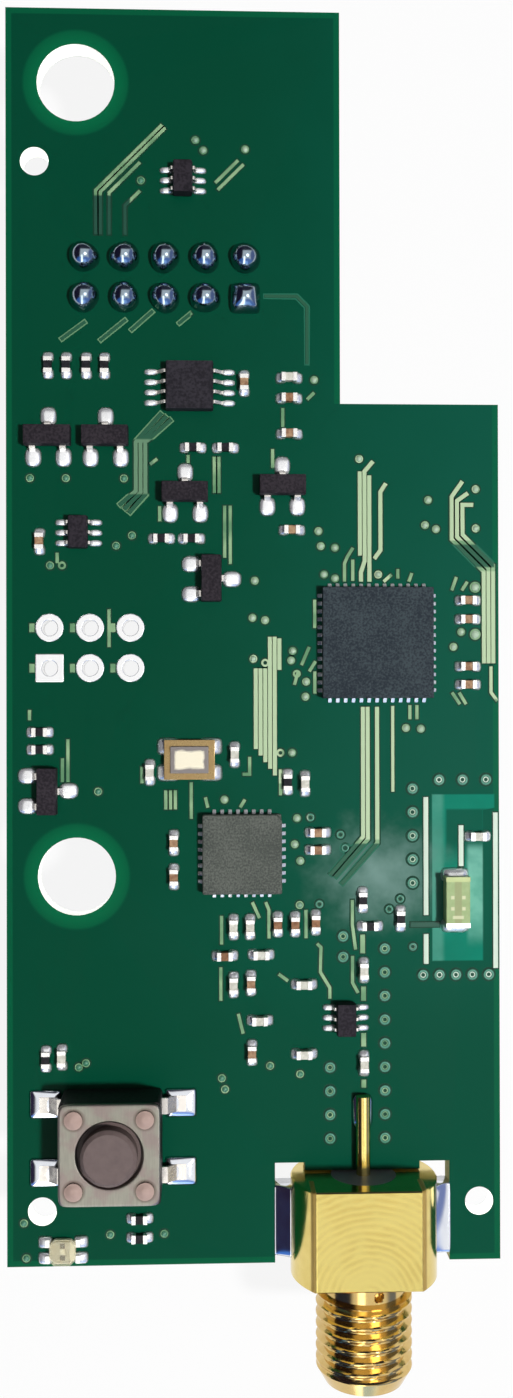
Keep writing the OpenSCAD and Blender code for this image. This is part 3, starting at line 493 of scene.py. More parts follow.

# %% [markdown]
# ## The board
# Glass-fibre laminate under a green mask. Over copper the mask looks dark, and where the copper is cut
# away it looks brighter: round each mounting hole, along the edges and under the antenna, which must
# have no copper near it. A pale painted sheen lies round the antenna's line and along the antenna's
# field, and a fainter painted sheen grows towards the right. An image could hold these zones but would
# blur up close, so they are worked out from distances. The cut sides show the bare laminate, and the
# walls of the drilled holes give off a painted glow that lifts their shade.

# %% Board zones
RING_RADIUS = 3.45
EDGE_MARGIN = 0.42
TONGUE_WIDE = 21.1
STEP_UP = 54.4
FIELD_LEFT = 0.75
FIELD_RIGHT = 1.1
FIELD_BELOW = 2.35
FIELD_ABOVE = 5.2
FIELD_WIDENS = 4.2
FIELD_WIDER = 0.75
mounts = {mount["name"]: mount for mount in frame["record"]["mounts"]}
print("mounts:", sorted(mounts))


def across_from(place, point, narrow=1.0):
    """Distance from an upright line through a point, in mm; to the right it counts narrow times."""
    level = place.stretch((narrow, 1, 0))
    return level.away((point[0] * narrow, point[1], 0.0))


def from_holes(place, *names):
    """Distance from the axis of the nearest of the record's holes with these names, in millimetres."""
    centres = [np.array(mounts[name]["pos_m"]) / MM for name in names]
    return reduce(Wire.least, [across_from(place, centre) for centre in centres])


def into_box(right, up, left, low, far, high):
    """Distance from a place in a level box to its nearest side; below 0 outside the box."""
    return (right - left).least(far - right).least(up - low).least(high - up)


mask = Finish("green_mask", Specular_IOR_Level=0.05)
place, right, up, above = mask.axes()
from_mount = from_holes(place, "upper_hole", "lower_hole")
rings = from_mount.ease(RING_RADIUS, RING_RADIUS - 0.25)
rings = rings * from_mount.ease(3.6, 2.5, 0.45, 1.0)

step_y = board_low[1] + STEP_UP
on_tongue = up.ease(step_y - 0.01, step_y + 0.01)
far_edge = board_high[0] - (board_high[0] - board_low[0] - TONGUE_WIDE) * on_tongue
edge_gap = into_box(right, up, board_low[0], board_low[1], far_edge, board_high[1])
margin = edge_gap.ease(EDGE_MARGIN, EDGE_MARGIN - 0.1)

antenna_low, antenna_high = box_mm("antenna_body")
past_bar = right - antenna_high[0]
over_bar = up - antenna_high[1]
widening = over_bar.ease(FIELD_WIDENS - 0.1, FIELD_WIDENS + 0.1)
field_far = antenna_high[0] + FIELD_RIGHT + FIELD_WIDER * widening
field_corner = antenna_low - np.array([FIELD_LEFT, FIELD_BELOW, 0])
field_gap = into_box(right, up, *field_corner[:2], field_far, antenna_high[1] + FIELD_ABOVE)
field = field_gap.ease(0.0, 0.12)
core = right.ease(antenna_low[0] + 0.1, antenna_low[0] + 0.3)
core = core * over_bar.band(0.5, 2.4, FIELD_WIDENS - 0.1, FIELD_WIDENS + 0.1)
# Strips along the antenna's field are given a painted sheen further down.
strip = past_bar.ease(-0.1, 0.2) * over_bar.ease(2.2, 1.4)
strip = strip * up.ease(antenna_low[1] - 1.6, antenna_low[1] + 0.4)
strip = strip.most(right.ease(antenna_low[0] + 0.2, antenna_low[0] - 0.2, 0.0, 0.35))

# %% Board colours
MASK_OVER_COPPER = (0, 71, 49)
MASK_TOWARDS_RIGHT = (6, 84, 65)
MASK_OVER_LAMINATE = (4, 104, 66)
MASK_UNDER_ANTENNA = (8, 130, 106)
MASK_IN_SHEEN = (120, 190, 170)
PAINTED_SHEEN = (138, 172, 164)
SHEEN_AT = (19.2, -25.2)
SHEEN_WIDE = 3.2
cloud = place.grain(0.35, 3.0)
patchy = place.grain(0.8, 3.0)
on_top = above.ease(board_top - 0.04, board_top - 0.01)
# A painted sheen grows towards the right, fainter near the bottom of the board.
sheen_to_right = (right - up * 0.14 + cloud * 6.0).ease(6.0, 31.0)
sheen_to_right = sheen_to_right * up.ease(-37.0, -26.0, 0.35, 1.0)
strip = strip * on_top * patchy.ease(0.3, 0.6, 0.6, 0.95)
# A soft patch of painted sheen lies round the antenna's line.
from_sheen = across_from(place, SHEEN_AT, 0.8) + 3.5 * patchy
sheen = from_sheen.ease(SHEEN_WIDE + 3.0, 0.6, 0.0, 0.74)
green = layered(
    MASK_OVER_COPPER,
    (sheen_to_right, MASK_TOWARDS_RIGHT),
    (rings.most(margin * 0.55), MASK_OVER_LAMINATE),
    (field * cloud.ease(0.2, 0.7, 0.7, 1.0), MASK_UNDER_ANTENNA),
    (field * core * 0.9, MASK_TOWARDS_RIGHT),
    (field * strip, MASK_IN_SHEEN),
    (sheen * on_top, PAINTED_SHEEN),
)

cut_side = above.band(0.01, 0.04, board_top - 0.04, board_top - 0.01)
from_peg = from_holes(place, "peg_hole_upper", "peg_hole_lower", "peg_hole_right")
in_hole = from_mount.ease(2.8, 2.6).most(from_peg.ease(1.2, 1.05))
laminate = place.grain(6.0, 1.0).blend((188, 196, 158), (216, 220, 190))
laminate = in_hole.blend(laminate, (252, 252, 248))
# The walls of the drilled holes give off a painted glow that lifts their shade.
mask.set(Base_Color=cut_side.blend(green, laminate), Emission_Strength=0.7)
mask.set(Emission_Color=(in_hole * cut_side).blend((0, 0, 0, 1), (240, 244, 236)))
mask.set(Roughness=0.30 + 0.12 * cloud + 0.3 * cut_side)
mask.rough_up(place.grain(2.2, 2.0), 0.004)
dress(mask, "circuit_board")

# %% [markdown]
# ## Tracks under the mask
# Copper lines stand a few hundredths of a millimetre proud, and the mask thins over their shoulders,
# so they read as pale green lines, partly with painted glint. How brightly each run glints is painted:
# the long upright buses get a painted glint, some slanting runs are painted as dark as the board, and
# two short ones are painted darker still, as painted shade. Beside each line the copper is cut away,
# which leaves an outline. It could be drawn from a second list of places, but a merged copy of the
# tracks' own mesh, pushed outwards and pressed nearly flat, follows every track by itself.

# %% Tracks
# Boxes of runs: the first get a painted glint, and the dark and darker ones are painted shade.
GLINT_PAINTED_RUNS = {
    "upper bus": (17.6, -6.6, 19.9, 1.6),
    "left bus": (11.0, -19.3, 13.0, -9.5),
    "lower bus": (17.8, -22.9, 20.2, -14.2),
    "right bus": (25.6, -14.0, 26.8, -5.7),
    "bend of the right bus": (23.6, -3.9, 25.5, 0.4),
}
MUTED_RUNS = {"memory's bus": (3.4, -1.0, 4.9, 2.6)}
OUTLINED_RUNS = {
    "under the header": (-1.4, 8.3, 7.3, 10.9),
    "upper slant of the memory's bus": (3.5, 2.45, 7.0, 5.0),
    "lower slant of the memory's bus": (1.6, -3.1, 4.9, -0.85),
}
UNLIT_PAINTED_RUNS = {
    "right of the header": (11.5, 7.0, 15.0, 12.2),
    "foot of the lower bus": (15.8, -26.0, 19.2, -23.0),
    "slant of the right bus": (23.7, -5.6, 26.6, -4.0),
}
SHADE_PAINTED_RUNS = {
    "down to the header": (0.6, 15.0, 3.5, 18.0),
    "feed of the antenna": (20.6, -28.7, 23.3, -27.8),
}


def inside(place, boxes):
    """1 inside any of the level boxes (left, low, right, high in mm), 0 outside."""
    right, up, _ = place.parts()
    return reduce(Wire.most, [into_box(right, up, *box).ease(0.0, 0.15) for box in boxes.values()])


tracks = Finish("masked_copper", Specular_IOR_Level=0.4)
place, right, up, _ = tracks.axes()
cloud = place.grain(0.6, 2.0)
# Tracks near the antenna get a painted sheen, nearly white.
sheen_near_antenna = right.ease(20.0, 22.5) * up.ease(-15.0, -19.0)
line_green = layered(
    (90, 140, 98),
    (cloud.ease(0.3, 0.7), (150, 186, 140)),
    (inside(place, GLINT_PAINTED_RUNS), (184, 208, 166)),
    (inside(place, MUTED_RUNS), (98, 138, 106)),
    (inside(place, UNLIT_PAINTED_RUNS | OUTLINED_RUNS), (8, 80, 54)),
    (sheen_near_antenna, (214, 232, 214)),
    (inside(place, SHADE_PAINTED_RUNS), (2, 70, 52)),
)
tracks.set(Base_Color=line_green, Roughness=0.32 + 0.15 * cloud)
dress(tracks, "copper_tracks")

# %% Track outlines
GAP_BESIDE = 0.108
GAP_LIFT = 0.006


def merged_copy(node, name):
    """A new object over a copy of a CAD node's mesh, with its loose triangles joined."""
    mesh = nodes[node].data.copy()
    mesh.name = name
    mesh.materials.clear()
    return new_piece(name, mesh, 1e-7)


def numbers_of(collection, field, kind=float):
    """Three numbers of each item of a mesh, as rows of an array."""
    numbers = np.empty(len(collection) * 3, kind)
    collection.foreach_get(field, numbers)
    return numbers.reshape(-1, 3)


gaps = merged_copy("copper_tracks", "track_gaps")
corners = numbers_of(gaps.data.vertices, "co")
lean = numbers_of(gaps.data.vertex_normals, "vector")[:, :2]
sideways = lean / np.maximum(np.linalg.norm(lean, axis=1, keepdims=True), 1e-6)
corners[:, :2] += sideways * GAP_BESIDE * MM
corners[:, :2] = np.clip(corners[:, :2], board_low[:2] * MM, board_high[:2] * MM)
high_side = corners[:, 2] > (board_top + 0.02) * MM
corners[:, 2] = np.where(high_side, board_top + GAP_LIFT, board_top - 0.01) * MM
gaps.data.vertices.foreach_set("co", corners.ravel())
gap_finish = Finish("cut_back_copper", Specular_IOR_Level=0.2, Roughness=0.4)
place = gap_finish.place()
gap_green = layered(
    (0, 50, 34),
    (place.grain(0.8), (2, 62, 42)),
    (inside(place, UNLIT_PAINTED_RUNS), (26, 104, 80)),
    (inside(place, OUTLINED_RUNS), (104, 150, 110)),
)
gap_finish.set(Base_Color=gap_green)
fit_in(gaps, gap_finish, "covered_copper")

# %% [markdown]
# ## Solder and tin
# Tin is a white metal that mirrors its surroundings softly. One even roughness would look like paint,
# for its skin is smooth on the crown of a joint and frosted where it froze last. So the roughness
# follows a cloudy noise.


# %% Metal finishes
def bright_metal(name, colour, duller, smooth, frosted, per_mm, dent_mm=0.004, mirror=1.0):
    """Metal with frosted patches, per_mm to a millimetre; mirror is its share of clear gloss."""
    finish = Finish(name, Metallic=mirror)
    place = finish.place()
    patch = place.grain(per_mm, 3.0)
    finish.set(Base_Color=patch.blend(colour, duller))
    finish.set(Roughness=patch.ease(0.3, 0.7, smooth, frosted))
    finish.rough_up(place.grain(per_mm * 2.0), dent_mm)
    return finish


solder = bright_metal("solder", (248, 248, 248), (234, 234, 236), 0.18, 0.34, 1.6, 0.003, 0.62)
flowed = bright_metal("flowed_solder", (238, 240, 244), (214, 218, 226), 0.10, 0.18, 0.8, 0.002)
tin = bright_metal("tin", (250, 248, 244), (236, 232, 226), 0.22, 0.36, 2.0, 0.003, 0.6)
pad_tin = bright_metal("pad_tin", (252, 252, 252), (244, 244, 244), 0.10, 0.18, 1.5, 0.001, 0.8)
lead_metal = bright_metal("lead_metal", (238, 234, 228), (208, 200, 192), 0.2, 0.36, 2.0, 0.003, 0.75)
dress(pad_tin, "programming_pads")
dress(tin, *CHIP_ENDS)
dress(solder, "processor_solder", "radio_solder")
dress(lead_metal, *LEADS, "switch_rim_contact", "switch_centre_contact")

# %% [markdown]
# ## Solder at the chips' ends and under the leads
# Molten solder climbs the metal end of a chip and thins out towards the rim of its pad. In the frame
# it is a plain wedge, which would keep its straight foot when smoothed. So each wedge is found again
# among the frame's triangles, and a mound grows in its box: highest at the part, thin at the rim.


# %% Finding the separate solids of a node
def sorted_points(node):
    """A node's points in millimetres, and for each the number of the solid that it belongs to.

    Equal points are given one number, and each solid's smallest number is then spread over its
    triangles until nothing changes.
    """
    mesh = nodes[node].data
    mesh.calc_loop_triangles()
    points = numbers_of(mesh.vertices, "co") / MM
    triangles = numbers_of(mesh.loop_triangles, "vertices", np.int32)
    same = np.unique(np.round(points, 4), axis=0, return_inverse=True)[1].reshape(-1)
    triangles = same[triangles]
    label = np.arange(same.max() + 1)
    while True:
        spread = label.copy()
        np.minimum.at(spread, triangles.ravel(), np.repeat(label[triangles].min(1), 3))
        spread = spread[spread]
        if np.array_equal(spread, label):
            break
        label = spread
    return points, np.unique(label[same], return_inverse=True)[1]


def solids_of(node):
    """Lowest and highest corners of a node's separate solids, in millimetres."""
    points, group = sorted_points(node)
    lows = np.full((group.max() + 1, 3), np.inf)
    highs = np.full((group.max() + 1, 3), -np.inf)
    np.minimum.at(lows, group, points)
    np.maximum.at(highs, group, points)
    return lows, highs


def outward_from(lows, highs, *owners):
    """For each box, the axis direction that leads away from the nearest owner's centre."""
    centres = (lows + highs)[:, :2] / 2
    middles = [sum(solids_of(owner))[:, :2] / 2 for owner in owners]
    apart = centres[:, None] - np.concatenate(middles)[None]
    each = np.arange(len(centres))
    nearest = apart[each, np.linalg.norm(apart, axis=2).argmin(1)]
    axis = np.abs(nearest).argmax(1)
    way = np.zeros_like(nearest)
    way[each, axis] = np.sign(nearest[each, axis])
    return way


# %% Solder mounds
def mounds(lows, highs, way, slope, turns=20, rings=6, square=2.0):
    """Points of solder mounds that stand in boxes.

    The outline is a rounded oblong, a^n + b^n = 1 with n twice the squareness, and r runs from 1 on
    the outline to 0 in the middle. The height is 1 - r^4 of the box, and it falls by the slope from
    the part outwards.
    """
    turn = full_turn(turns)
    ring = np.concatenate([[0.0], np.linspace(1, 0, rings)])[:, None]
    along = ring * np.sign(np.cos(turn)) * np.abs(np.cos(turn)) ** (1 / square)
    across = ring * np.sign(np.sin(turn)) * np.abs(np.sin(turn)) ** (1 / square)
    lift = (1 - ring**4) * (1 - slope * (1 + along) / 2)
    lift[0] = 0.0
    centre = (lows + highs) / 2
    half = (highs - lows) / 2
    side = np.stack([-way[:, 1], way[:, 0]], axis=1)
    reach = np.abs((half[:, :2] * way).sum(1))[:, None, None]
    breadth = np.abs((half[:, :2] * side).sum(1))[:, None, None]
    forward = way[:, None, None] * (reach * along)[..., None]
    sidelong = side[:, None, None] * (breadth * across)[..., None]
    level = centre[:, None, None, :2] + forward + sidelong
    z = lows[:, 2, None, None] + lift * (highs - lows)[:, 2, None, None]
    return np.concatenate([level, z[..., None]], axis=-1)


def grown(lows, highs, outwards, upwards):
    """Boxes that are wider by outwards on each side, and upwards times as high."""
    wide = np.asarray(outwards).reshape(-1, 1) * np.array([1, 1, 0])
    low = lows - wide
    high = highs + wide
    high[:, 2] = lows[:, 2] + (highs - lows)[:, 2] * upwards
    return low, high


# %% Joints of chips, leads, blocks and switch
def flow(name, node, owners, metal, wider, upwards, **form):
    """Puts mounds in the place of a node's solids; each falls away from the nearest owner."""
    low, high = solids_of(node)
    way = outward_from(low, high, *owners)
    piece = lay_grid(name, mounds(*grown(low, high, wider, upwards), way, **form))
    fit_in(piece, metal, "solder", node)


WIDE_LEAD = 0.5
low, high = solids_of("lead_solder")
under_wide_lead = (high - low)[:, :2].min(axis=1) > WIDE_LEAD
print("leads:", len(low), "of them wide:", under_wide_lead.sum())
spread = np.where(under_wide_lead, 0.12, 0.03)

chip_cores = ("resistor_bodies", "capacitor_bodies", "filter_bodies", "inductor_bodies")
leaded = ("memory_body", *SIX_LEADED, *TRANSISTORS)
blocks = ("crystal_base", "light_base", "antenna_body")
chip_form = {"slope": 0.7, "turns": 16, "rings": 5, "square": 1.5}
lead_form = {"slope": 0.4, "square": 1.35}
switch_form = {"slope": 0.45, "turns": 40, "rings": 8, "square": 5.0}
flow("chip_joints", "chip_solder", chip_cores, solder, wider=0.06, upwards=1.5, **chip_form)
flow("lead_joints", "lead_solder", leaded, solder, wider=spread, upwards=1.4, **lead_form)
flow("block_joints", "block_solder", blocks, solder, wider=0.16, upwards=1.6, slope=0.5)
flow("switch_joints", "switch_solder", ["switch_base"], flowed, wider=0.03, upwards=1.25, **switch_form)

# %% [markdown]
# ## Covered vias
# A via joins the board's copper layers. The mask sags into its hole, which leaves a tiny crater with
# one bright and one dark side. A painted ring would look the same from every side, so a real profile
# is turned round each flat ring in the frame, told from a track by its square box and many corners.
# Single vias are nearly filled, and the row that fences the antenna's line sags deep.

# %% Via craters
FENCE_X = 14.6
FENCE_Y = -18.0
RING_CORNERS = 200
RING_WIDEST = 0.9
OUT_OF_SQUARE = 0.02
low, high = solids_of("copper_tracks")
corner_count = np.bincount(sorted_points("copper_tracks")[1])
wide, tall, _ = (high - low).T
is_square = np.abs(wide - tall) < OUT_OF_SQUARE
is_ring = is_square & (corner_count > RING_CORNERS) & (wide < RING_WIDEST)
centre = ((low + high) / 2)[is_ring][:, None, None]
rim = (wide[is_ring] / 2 + 0.03)[:, None, None]
in_fence = (centre[..., 0] > FENCE_X) & (centre[..., 1] < FENCE_Y)
rim = np.where(in_fence, rim, 0.78 * rim)
crater_r = np.array([0, 1.0, 0.95, 0.78, 0.52, 0.30, 0])[:, None]
filled_z = np.array([-0.01, -0.01, 0.03, 0.08, 0.12, 0.135, 0.14])[:, None]
sagged_z = np.array([-0.01, -0.01, 0.05, 0.075, 0.055, 0.02, 0.01])[:, None]
crater_z = board_top + np.where(in_fence, sagged_z, filled_z)
turn = full_turn(12)
via_craters = lay_grid("via_craters", turned(centre, rim * crater_r, turn, crater_z))

# %% Sagged mask
crater = Finish("sagged_mask", Specular_IOR_Level=0.7)
place, right, up, above = crater.axes()
on_rim = above.ease(board_top + 0.045, board_top + 0.075)
fenced = right.ease(FENCE_X - 0.1, FENCE_X + 0.1) * up.ease(FENCE_Y + 0.1, FENCE_Y - 0.1)
by_processor = right.ease(5.0, 10.0) * up.ease(-30.0, -22.0)
# The rims are painted pale, a painted highlight that is brightest by the processor; the hollow is
# painted darker, a painted shade.
rim_painted_highlight = layered((70, 132, 104), (by_processor, (172, 198, 170)), (fenced, (70, 142, 118)))
crater.set(Base_Color=on_rim.blend((2, 62, 44), rim_painted_highlight))
crater.set(Roughness=0.7 - 0.5 * on_rim + 0.15 * place.grain(2.0))
fit_in(via_craters, crater, "covered_copper")

# %% [markdown]
# ## The header's solder joints
# Ten square pins come up through the board, each drowned in a shiny drop of solder. Half a ball on
# each pad would do from afar, but all would mirror the room alike. Here a drop is a profile turned
# round the pin: it fills the hole, spreads on the pad and climbs in a full curve over the tip. Each
# has a few shallow lobes of its own, and the drop on the last pad has a square foot.

# %% Header joints
PIN_HOLE_R = 0.5
low, high = solids_of("header_solder")
drop_low = low[0, 2]
drop_high = high[0, 2] - board_top
drop_r = (high[0, 0] - low[0, 0]) / 2
climb = np.radians([0, 3, 12, 22, 32, 42, 51, 59, 66, 73, 79, 85, 90])
share_r = np.cos(climb)
profile_r = np.concatenate([[0, PIN_HOLE_R, PIN_HOLE_R], share_r * drop_r])[:, None]
climb_z = board_top + 1.5 * np.sin(climb) * drop_high
profile_z = np.concatenate([[drop_low, drop_low, board_top], climb_z])[:, None]
turn = full_turn(40)
centre = ((low + high) / 2)[:, None, None]
own_turn = 2.4 * np.arange(len(low))[:, None, None]
foot = np.concatenate([[0, 0, 0], share_r**2])[:, None]
lobes = 1 + foot * (0.04 * np.sin(2 * turn + own_turn) + 0.03 * np.sin(3 * turn - 2 * own_turn))
last = (centre[..., 0] - centre[..., 1]).argmax()
corner_reach = (np.cos(turn) ** 8 + np.sin(turn) ** 8) ** (-1 / 8)
lobes[last] = 1 + foot * (corner_reach - 1)
header_joints = lay_grid("header_joints", turned(centre, profile_r * lobes, turn, profile_z))
# The drops' solder is painted a darker, bluer grey than the other solder: a painted shade.
shaded_drop_solder = bright_metal("shaded_drop_solder", (162, 176, 188), (134, 150, 162), 0.10, 0.20, 0.8, 0.002)
fit_in(header_joints, shaded_drop_solder, "solder", "header_solder")

# %% [markdown]
# ## The coaxial jack
# The jack is turned from brass and gilded: a thick round body milled flat above and below, a short
# neck and a threaded barrel. A Screw modifier could cut the thread but would leave open ends, so the
# jack is one closed surface: a profile from the rear face to the mouth and back through the bore,
# carried round the axis. On the body the radius is cut down to the flats. On the barrel it follows a
# screw line: the groove's phase grows with the place along the axis and with the angle.

# %% Jack profile
BODY_LONG = 6.1
NECK_R = 2.7
NECK_LONG = 1.1
BEVEL_LONG = 0.9
BROKEN_EDGE = 0.08
NO_FLAT = 9.0
jack_low, jack_high = box_mm("jack_body")
axis_x, _, axis_z = (jack_low + jack_high) / 2
body_r, _, flat_half = (jack_high - jack_low) / 2
rear_y, mouth_y = jack_high[1], jack_low[1]
thread_r = mounts["plug_thread"]["dims"]["r_mm"]
socket_r = mounts["plug_socket"]["dims"]["r_mm"]
socket_deep = mounts["plug_socket"]["dims"]["length_mm"]
insulator_low, insulator_high = box_mm("jack_insulator")
bore_r = (insulator_high - insulator_low)[0] / 2

front_y = rear_y - BODY_LONG
thread_start = front_y - NECK_LONG
bevel_start = mouth_y + BEVEL_LONG
body_rows = np.linspace(rear_y - BROKEN_EDGE, front_y + BROKEN_EDGE, 14)
neck_rows = np.linspace(front_y, thread_start, 14)
barrel_rows = np.linspace(thread_start, mouth_y, 108)
socket_rows = np.linspace(mouth_y, mouth_y + socket_deep, 5)
back_rows = np.linspace(mouth_y + socket_deep, rear_y, 4)[:-1]
edge_r = body_r - BROKEN_EDGE
edge_flat = flat_half - BROKEN_EDGE
sections = [
    (rear_y, [bore_r, (bore_r + flat_half) / 2, edge_r], [NO_FLAT, NO_FLAT, edge_flat]),
    (body_rows, body_r, flat_half),
    ([front_y], edge_r, edge_flat),
    (neck_rows, NECK_R, NO_FLAT),
    (barrel_rows, thread_r, NO_FLAT),
    (socket_rows, socket_r, NO_FLAT),
    (back_rows, bore_r, NO_FLAT),
]
rows = [np.stack(np.broadcast_arrays(*section)) for section in sections]
along, radius, flat = np.concatenate(rows, axis=1)[:, :, None]
row_ends = np.cumsum([part.shape[1] for part in rows])
neck = slice(row_ends[2], row_ends[3])
barrel = slice(row_ends[3], row_ends[4])
print("rows along the jack:", len(along))

# %% Jack shell
MOUTH_R = 2.5
CREST_BELOW = 0.08
FACET_CUT = 0.045
PITCH = 0.7056
GROOVE_DEEP = 0.36
LAND = 0.14
FILL_HOLE_R = 0.3
FILL_HOLE_DEEP = 0.5
FILL_HOLE_WALL = 0.08
FILL_HOLE_TURN = np.radians(76.0)

corner = np.arcsin(flat_half / body_r)
corners = np.array([corner, np.pi - corner, np.pi + corner, 2 * np.pi - corner])
near_corner = (corners[:, None] + np.linspace(-0.04, 0.04, 21)).ravel()
turn = np.unique(np.concatenate([full_turn(240), near_corner]))
reach = np.minimum(radius, flat / np.maximum(np.abs(np.sin(turn)), 1e-6))
between = (np.pi / 2 + corner) / 2
facets = np.array([between, np.pi - between, np.pi + between, -between])[:, None]
facet_away = body_r * np.cos(between - corner) - FACET_CUT
facet = (facet_away / np.maximum(np.cos(turn - facets), 1e-3)).min(axis=0)
reach = np.where(flat < NO_FLAT, np.minimum(reach, facet), reach)

phase = np.mod((barrel_rows[:, None] - thread_start) / PITCH + turn / (2 * np.pi), 1.0)
groove = np.clip((np.abs(2 * phase - 1) - LAND) / (1 - 2 * LAND), 0, 1)
groove *= np.clip((thread_start - barrel_rows) / (0.3 * PITCH), 0, 1)[:, None]
groove *= np.clip((barrel_rows - bevel_start) / (0.5 * PITCH), 0, 1)[:, None]
crest_r = thread_r - CREST_BELOW
bevel = crest_r - (crest_r - MOUTH_R) * np.clip((bevel_start - barrel_rows) / BEVEL_LONG, 0, 1)
reach[barrel] = np.minimum(crest_r - GROOVE_DEEP * groove, bevel[:, None])

fill_y = (front_y + thread_start) / 2
from_fill = np.hypot(neck_rows[:, None] - fill_y, NECK_R * (turn - FILL_HOLE_TURN))
reach[neck] -= FILL_HOLE_DEEP * np.clip((FILL_HOLE_R - from_fill) / FILL_HOLE_WALL, 0, 1)

out_x = reach * np.cos(turn)
out_z = reach * np.sin(turn)
shell = np.stack([axis_x + out_x, along + 0 * reach, axis_z + out_z], axis=-1)
jack_shell = lay_grid("jack_shell", shell[None], rows_round=True)
jack_shell.data.set_sharp_from_angle(angle=np.radians(14))

# %% Gilding
MILL_WAVES = 15.5
gold = Finish("gilded_brass", Metallic=1.0)
place, right, up, above = gold.axes()
patch = place.grain(1.2, 3.0)
wander = place.grain(0.7, 2.0)
flat_z = axis_z + flat_half
from_mill = place.away((axis_x, front_y - 0.3, flat_z))
marks = (from_mill * MILL_WAVES + 6.0 * wander).math("SINE")
on_flat = above.ease(flat_z - 0.06, flat_z - 0.02)
worn_off = wander.ease(0.35, 0.62, 0.15, 0.8) * from_mill.ease(1.0, 3.0, 0.4, 1.0)
scratch = (0.5 + 0.5 * marks) * on_flat * worn_off
on_barrel = up.ease(front_y, front_y - 0.1)
gilding = patch.blend((234, 214, 136), (218, 192, 108))
# The barrel's gold is painted darker and duller than the body's: a painted shade.
gilding = on_barrel.blend(gilding, patch.blend((224, 196, 132), (204, 170, 104)))
gilding = on_flat.blend(gilding, scratch.blend((222, 203, 122), (196, 172, 94)))
flat_wide = np.sqrt(body_r**2 - flat_half**2)
off_axis = (right - axis_x).math("ABSOLUTE")
ridge = off_axis.band(flat_wide - 0.12, flat_wide - 0.04, flat_wide + 0.1, flat_wide + 0.3)
ridge = ridge * (1 - on_barrel) * above.ease(axis_z + 1.0, axis_z + 1.2)
gold.set(Base_Color=(ridge * 0.6).blend(gilding, (176, 132, 62)))
gold.set(Roughness=0.12 + 0.08 * patch + 0.10 * scratch + 0.4 * ridge - 0.02 * on_barrel)
gold.rough_up(scratch * 0.5 + place.grain(6.0) * 0.3 * (1 - on_barrel), 0.002)
fit_in(jack_shell, gold, "jack_gold", "jack_body")
dress(gold, "jack_contact")

# %% [markdown]
# ## The jack's solder
# The jack sits in a notch in the board and is soldered along both sides. Solder wets the round flank
# and the notch's wall, slopes between them and ends in a level lip on the board. On the right it sinks
# towards the front, where less has run. A bevelled block would be too straight, so a section is
# carried along the notch, and both ends close in a point.


# %% Jack solder
def flank_fillet(side, low, high, lip_wide, hollow, sinks=0.0):
    """Section points of the hollow fillet on one side of the jack, for each place along it.

    With t from 0 on the flank to 1 at the wall, the surface's height is that of the board plus the
    rise times (1 - t)^hollow, and the rise sinks by a share from the rear to the front. Beyond the
    wall a lip lies level on the board. The underside is level.
    """
    rows = 30
    t = np.linspace(1, 0, 14)
    wall = high[0] - axis_x if side > 0 else axis_x - low[0]
    along = np.linspace(high[1], low[1], rows)[:, None]
    frontwards = np.linspace(0, 1, rows)[:, None]
    endwards = np.abs(2 * frontwards - 1)
    full = (1 - 0.3 * endwards**16) * (1 - sinks * frontwards)
    top = board_top + 0.03 + 0.6 * (high[2] - board_top) * full * (1 - t) ** hollow
    flank = np.sqrt(body_r**2 - (top - axis_z) ** 2) - 0.03
    slope = flank + (wall - flank) * t
    lip = wall + lip_wide * (1 - endwards**6)
    foot = np.broadcast_to([body_r - 0.6, wall], (rows, 2))
    x = np.concatenate([lip, slope, foot], axis=1)
    z = np.concatenate([top[:, :1], top, np.full((rows, 2), low[2])], axis=1)
    points = np.stack([axis_x + side * x, along + 0 * x, z], axis=-1)
    ends = points[[0, -1]].mean(axis=1, keepdims=True) + 0 * points[[0, -1]]
    return np.concatenate([ends[:1], points, ends[1:]], axis=0)


# %% Fillets, tail joint and insulator
low, high = solids_of("jack_solder")
aside = (low + high)[:, 0] / 2 - axis_x
right_box = low[aside.argmax()], high[aside.argmax()]
left_box = low[aside.argmin()], high[aside.argmin()]
right_fillet = flank_fillet(1, *right_box, lip_wide=0.05, hollow=1.5, sinks=0.75)
left_fillet = flank_fillet(-1, *left_box, lip_wide=0.03, hollow=1.15)
jack_fillets = lay_grid("jack_fillets", np.stack([right_fillet, left_fillet]))
fit_in(jack_fillets, flowed, "solder", "jack_solder")
is_tail = np.abs(aside) < 1.0
tail_low, tail_high = grown(low[is_tail], high[is_tail], 0.03, 1.5)
rearwards = np.array([[0.0, 1.0]])
tail_points = mounds(tail_low, tail_high, rearwards, slope=0.4, turns=32, rings=9)
tail_joint = lay_grid("tail_joint", tail_points)
fit_in(tail_joint, flowed, "solder")

# The insulator is white PTFE; its grey is painted shade, for it faces the board in shadow.
insulator = Finish("insulator_painted_shade", Specular_IOR_Level=0.3, Roughness=0.4)
insulator.set(Base_Color=insulator.place().grain(1.5).blend((112, 112, 126), (138, 138, 150)))
dress(insulator, "jack_insulator")

# %% [markdown]
# ## Moulded chip bodies
# Chips are cast in resin filled with fine glass, so a body is matt and faintly mottled. Plain black
# would look like a hole in the picture, so each finish has two shades in fine patches. The large
# processor is a bluish slate and the radio chip a warm grey.


# %% Mouldings
def moulding(name, dark, pale, per_mm, matt=0.5, pit_mm=0.006):
    """Filled resin: two shades in fine patches, with a pitted skin."""
    finish = Finish(name, Specular_IOR_Level=0.16)
    place = finish.place()
    fine = place.grain(per_mm, 4.0)
    broad = place.grain(0.5, 2.0)
    speck = (fine * 0.75 + broad * 0.25).ease(0.38, 0.64)
    finish.set(Base_Color=speck.blend(dark, pale), Roughness=matt + 0.15 * fine)
    finish.rough_up(place.grain(per_mm * 1.5), pit_mm)
    return finish


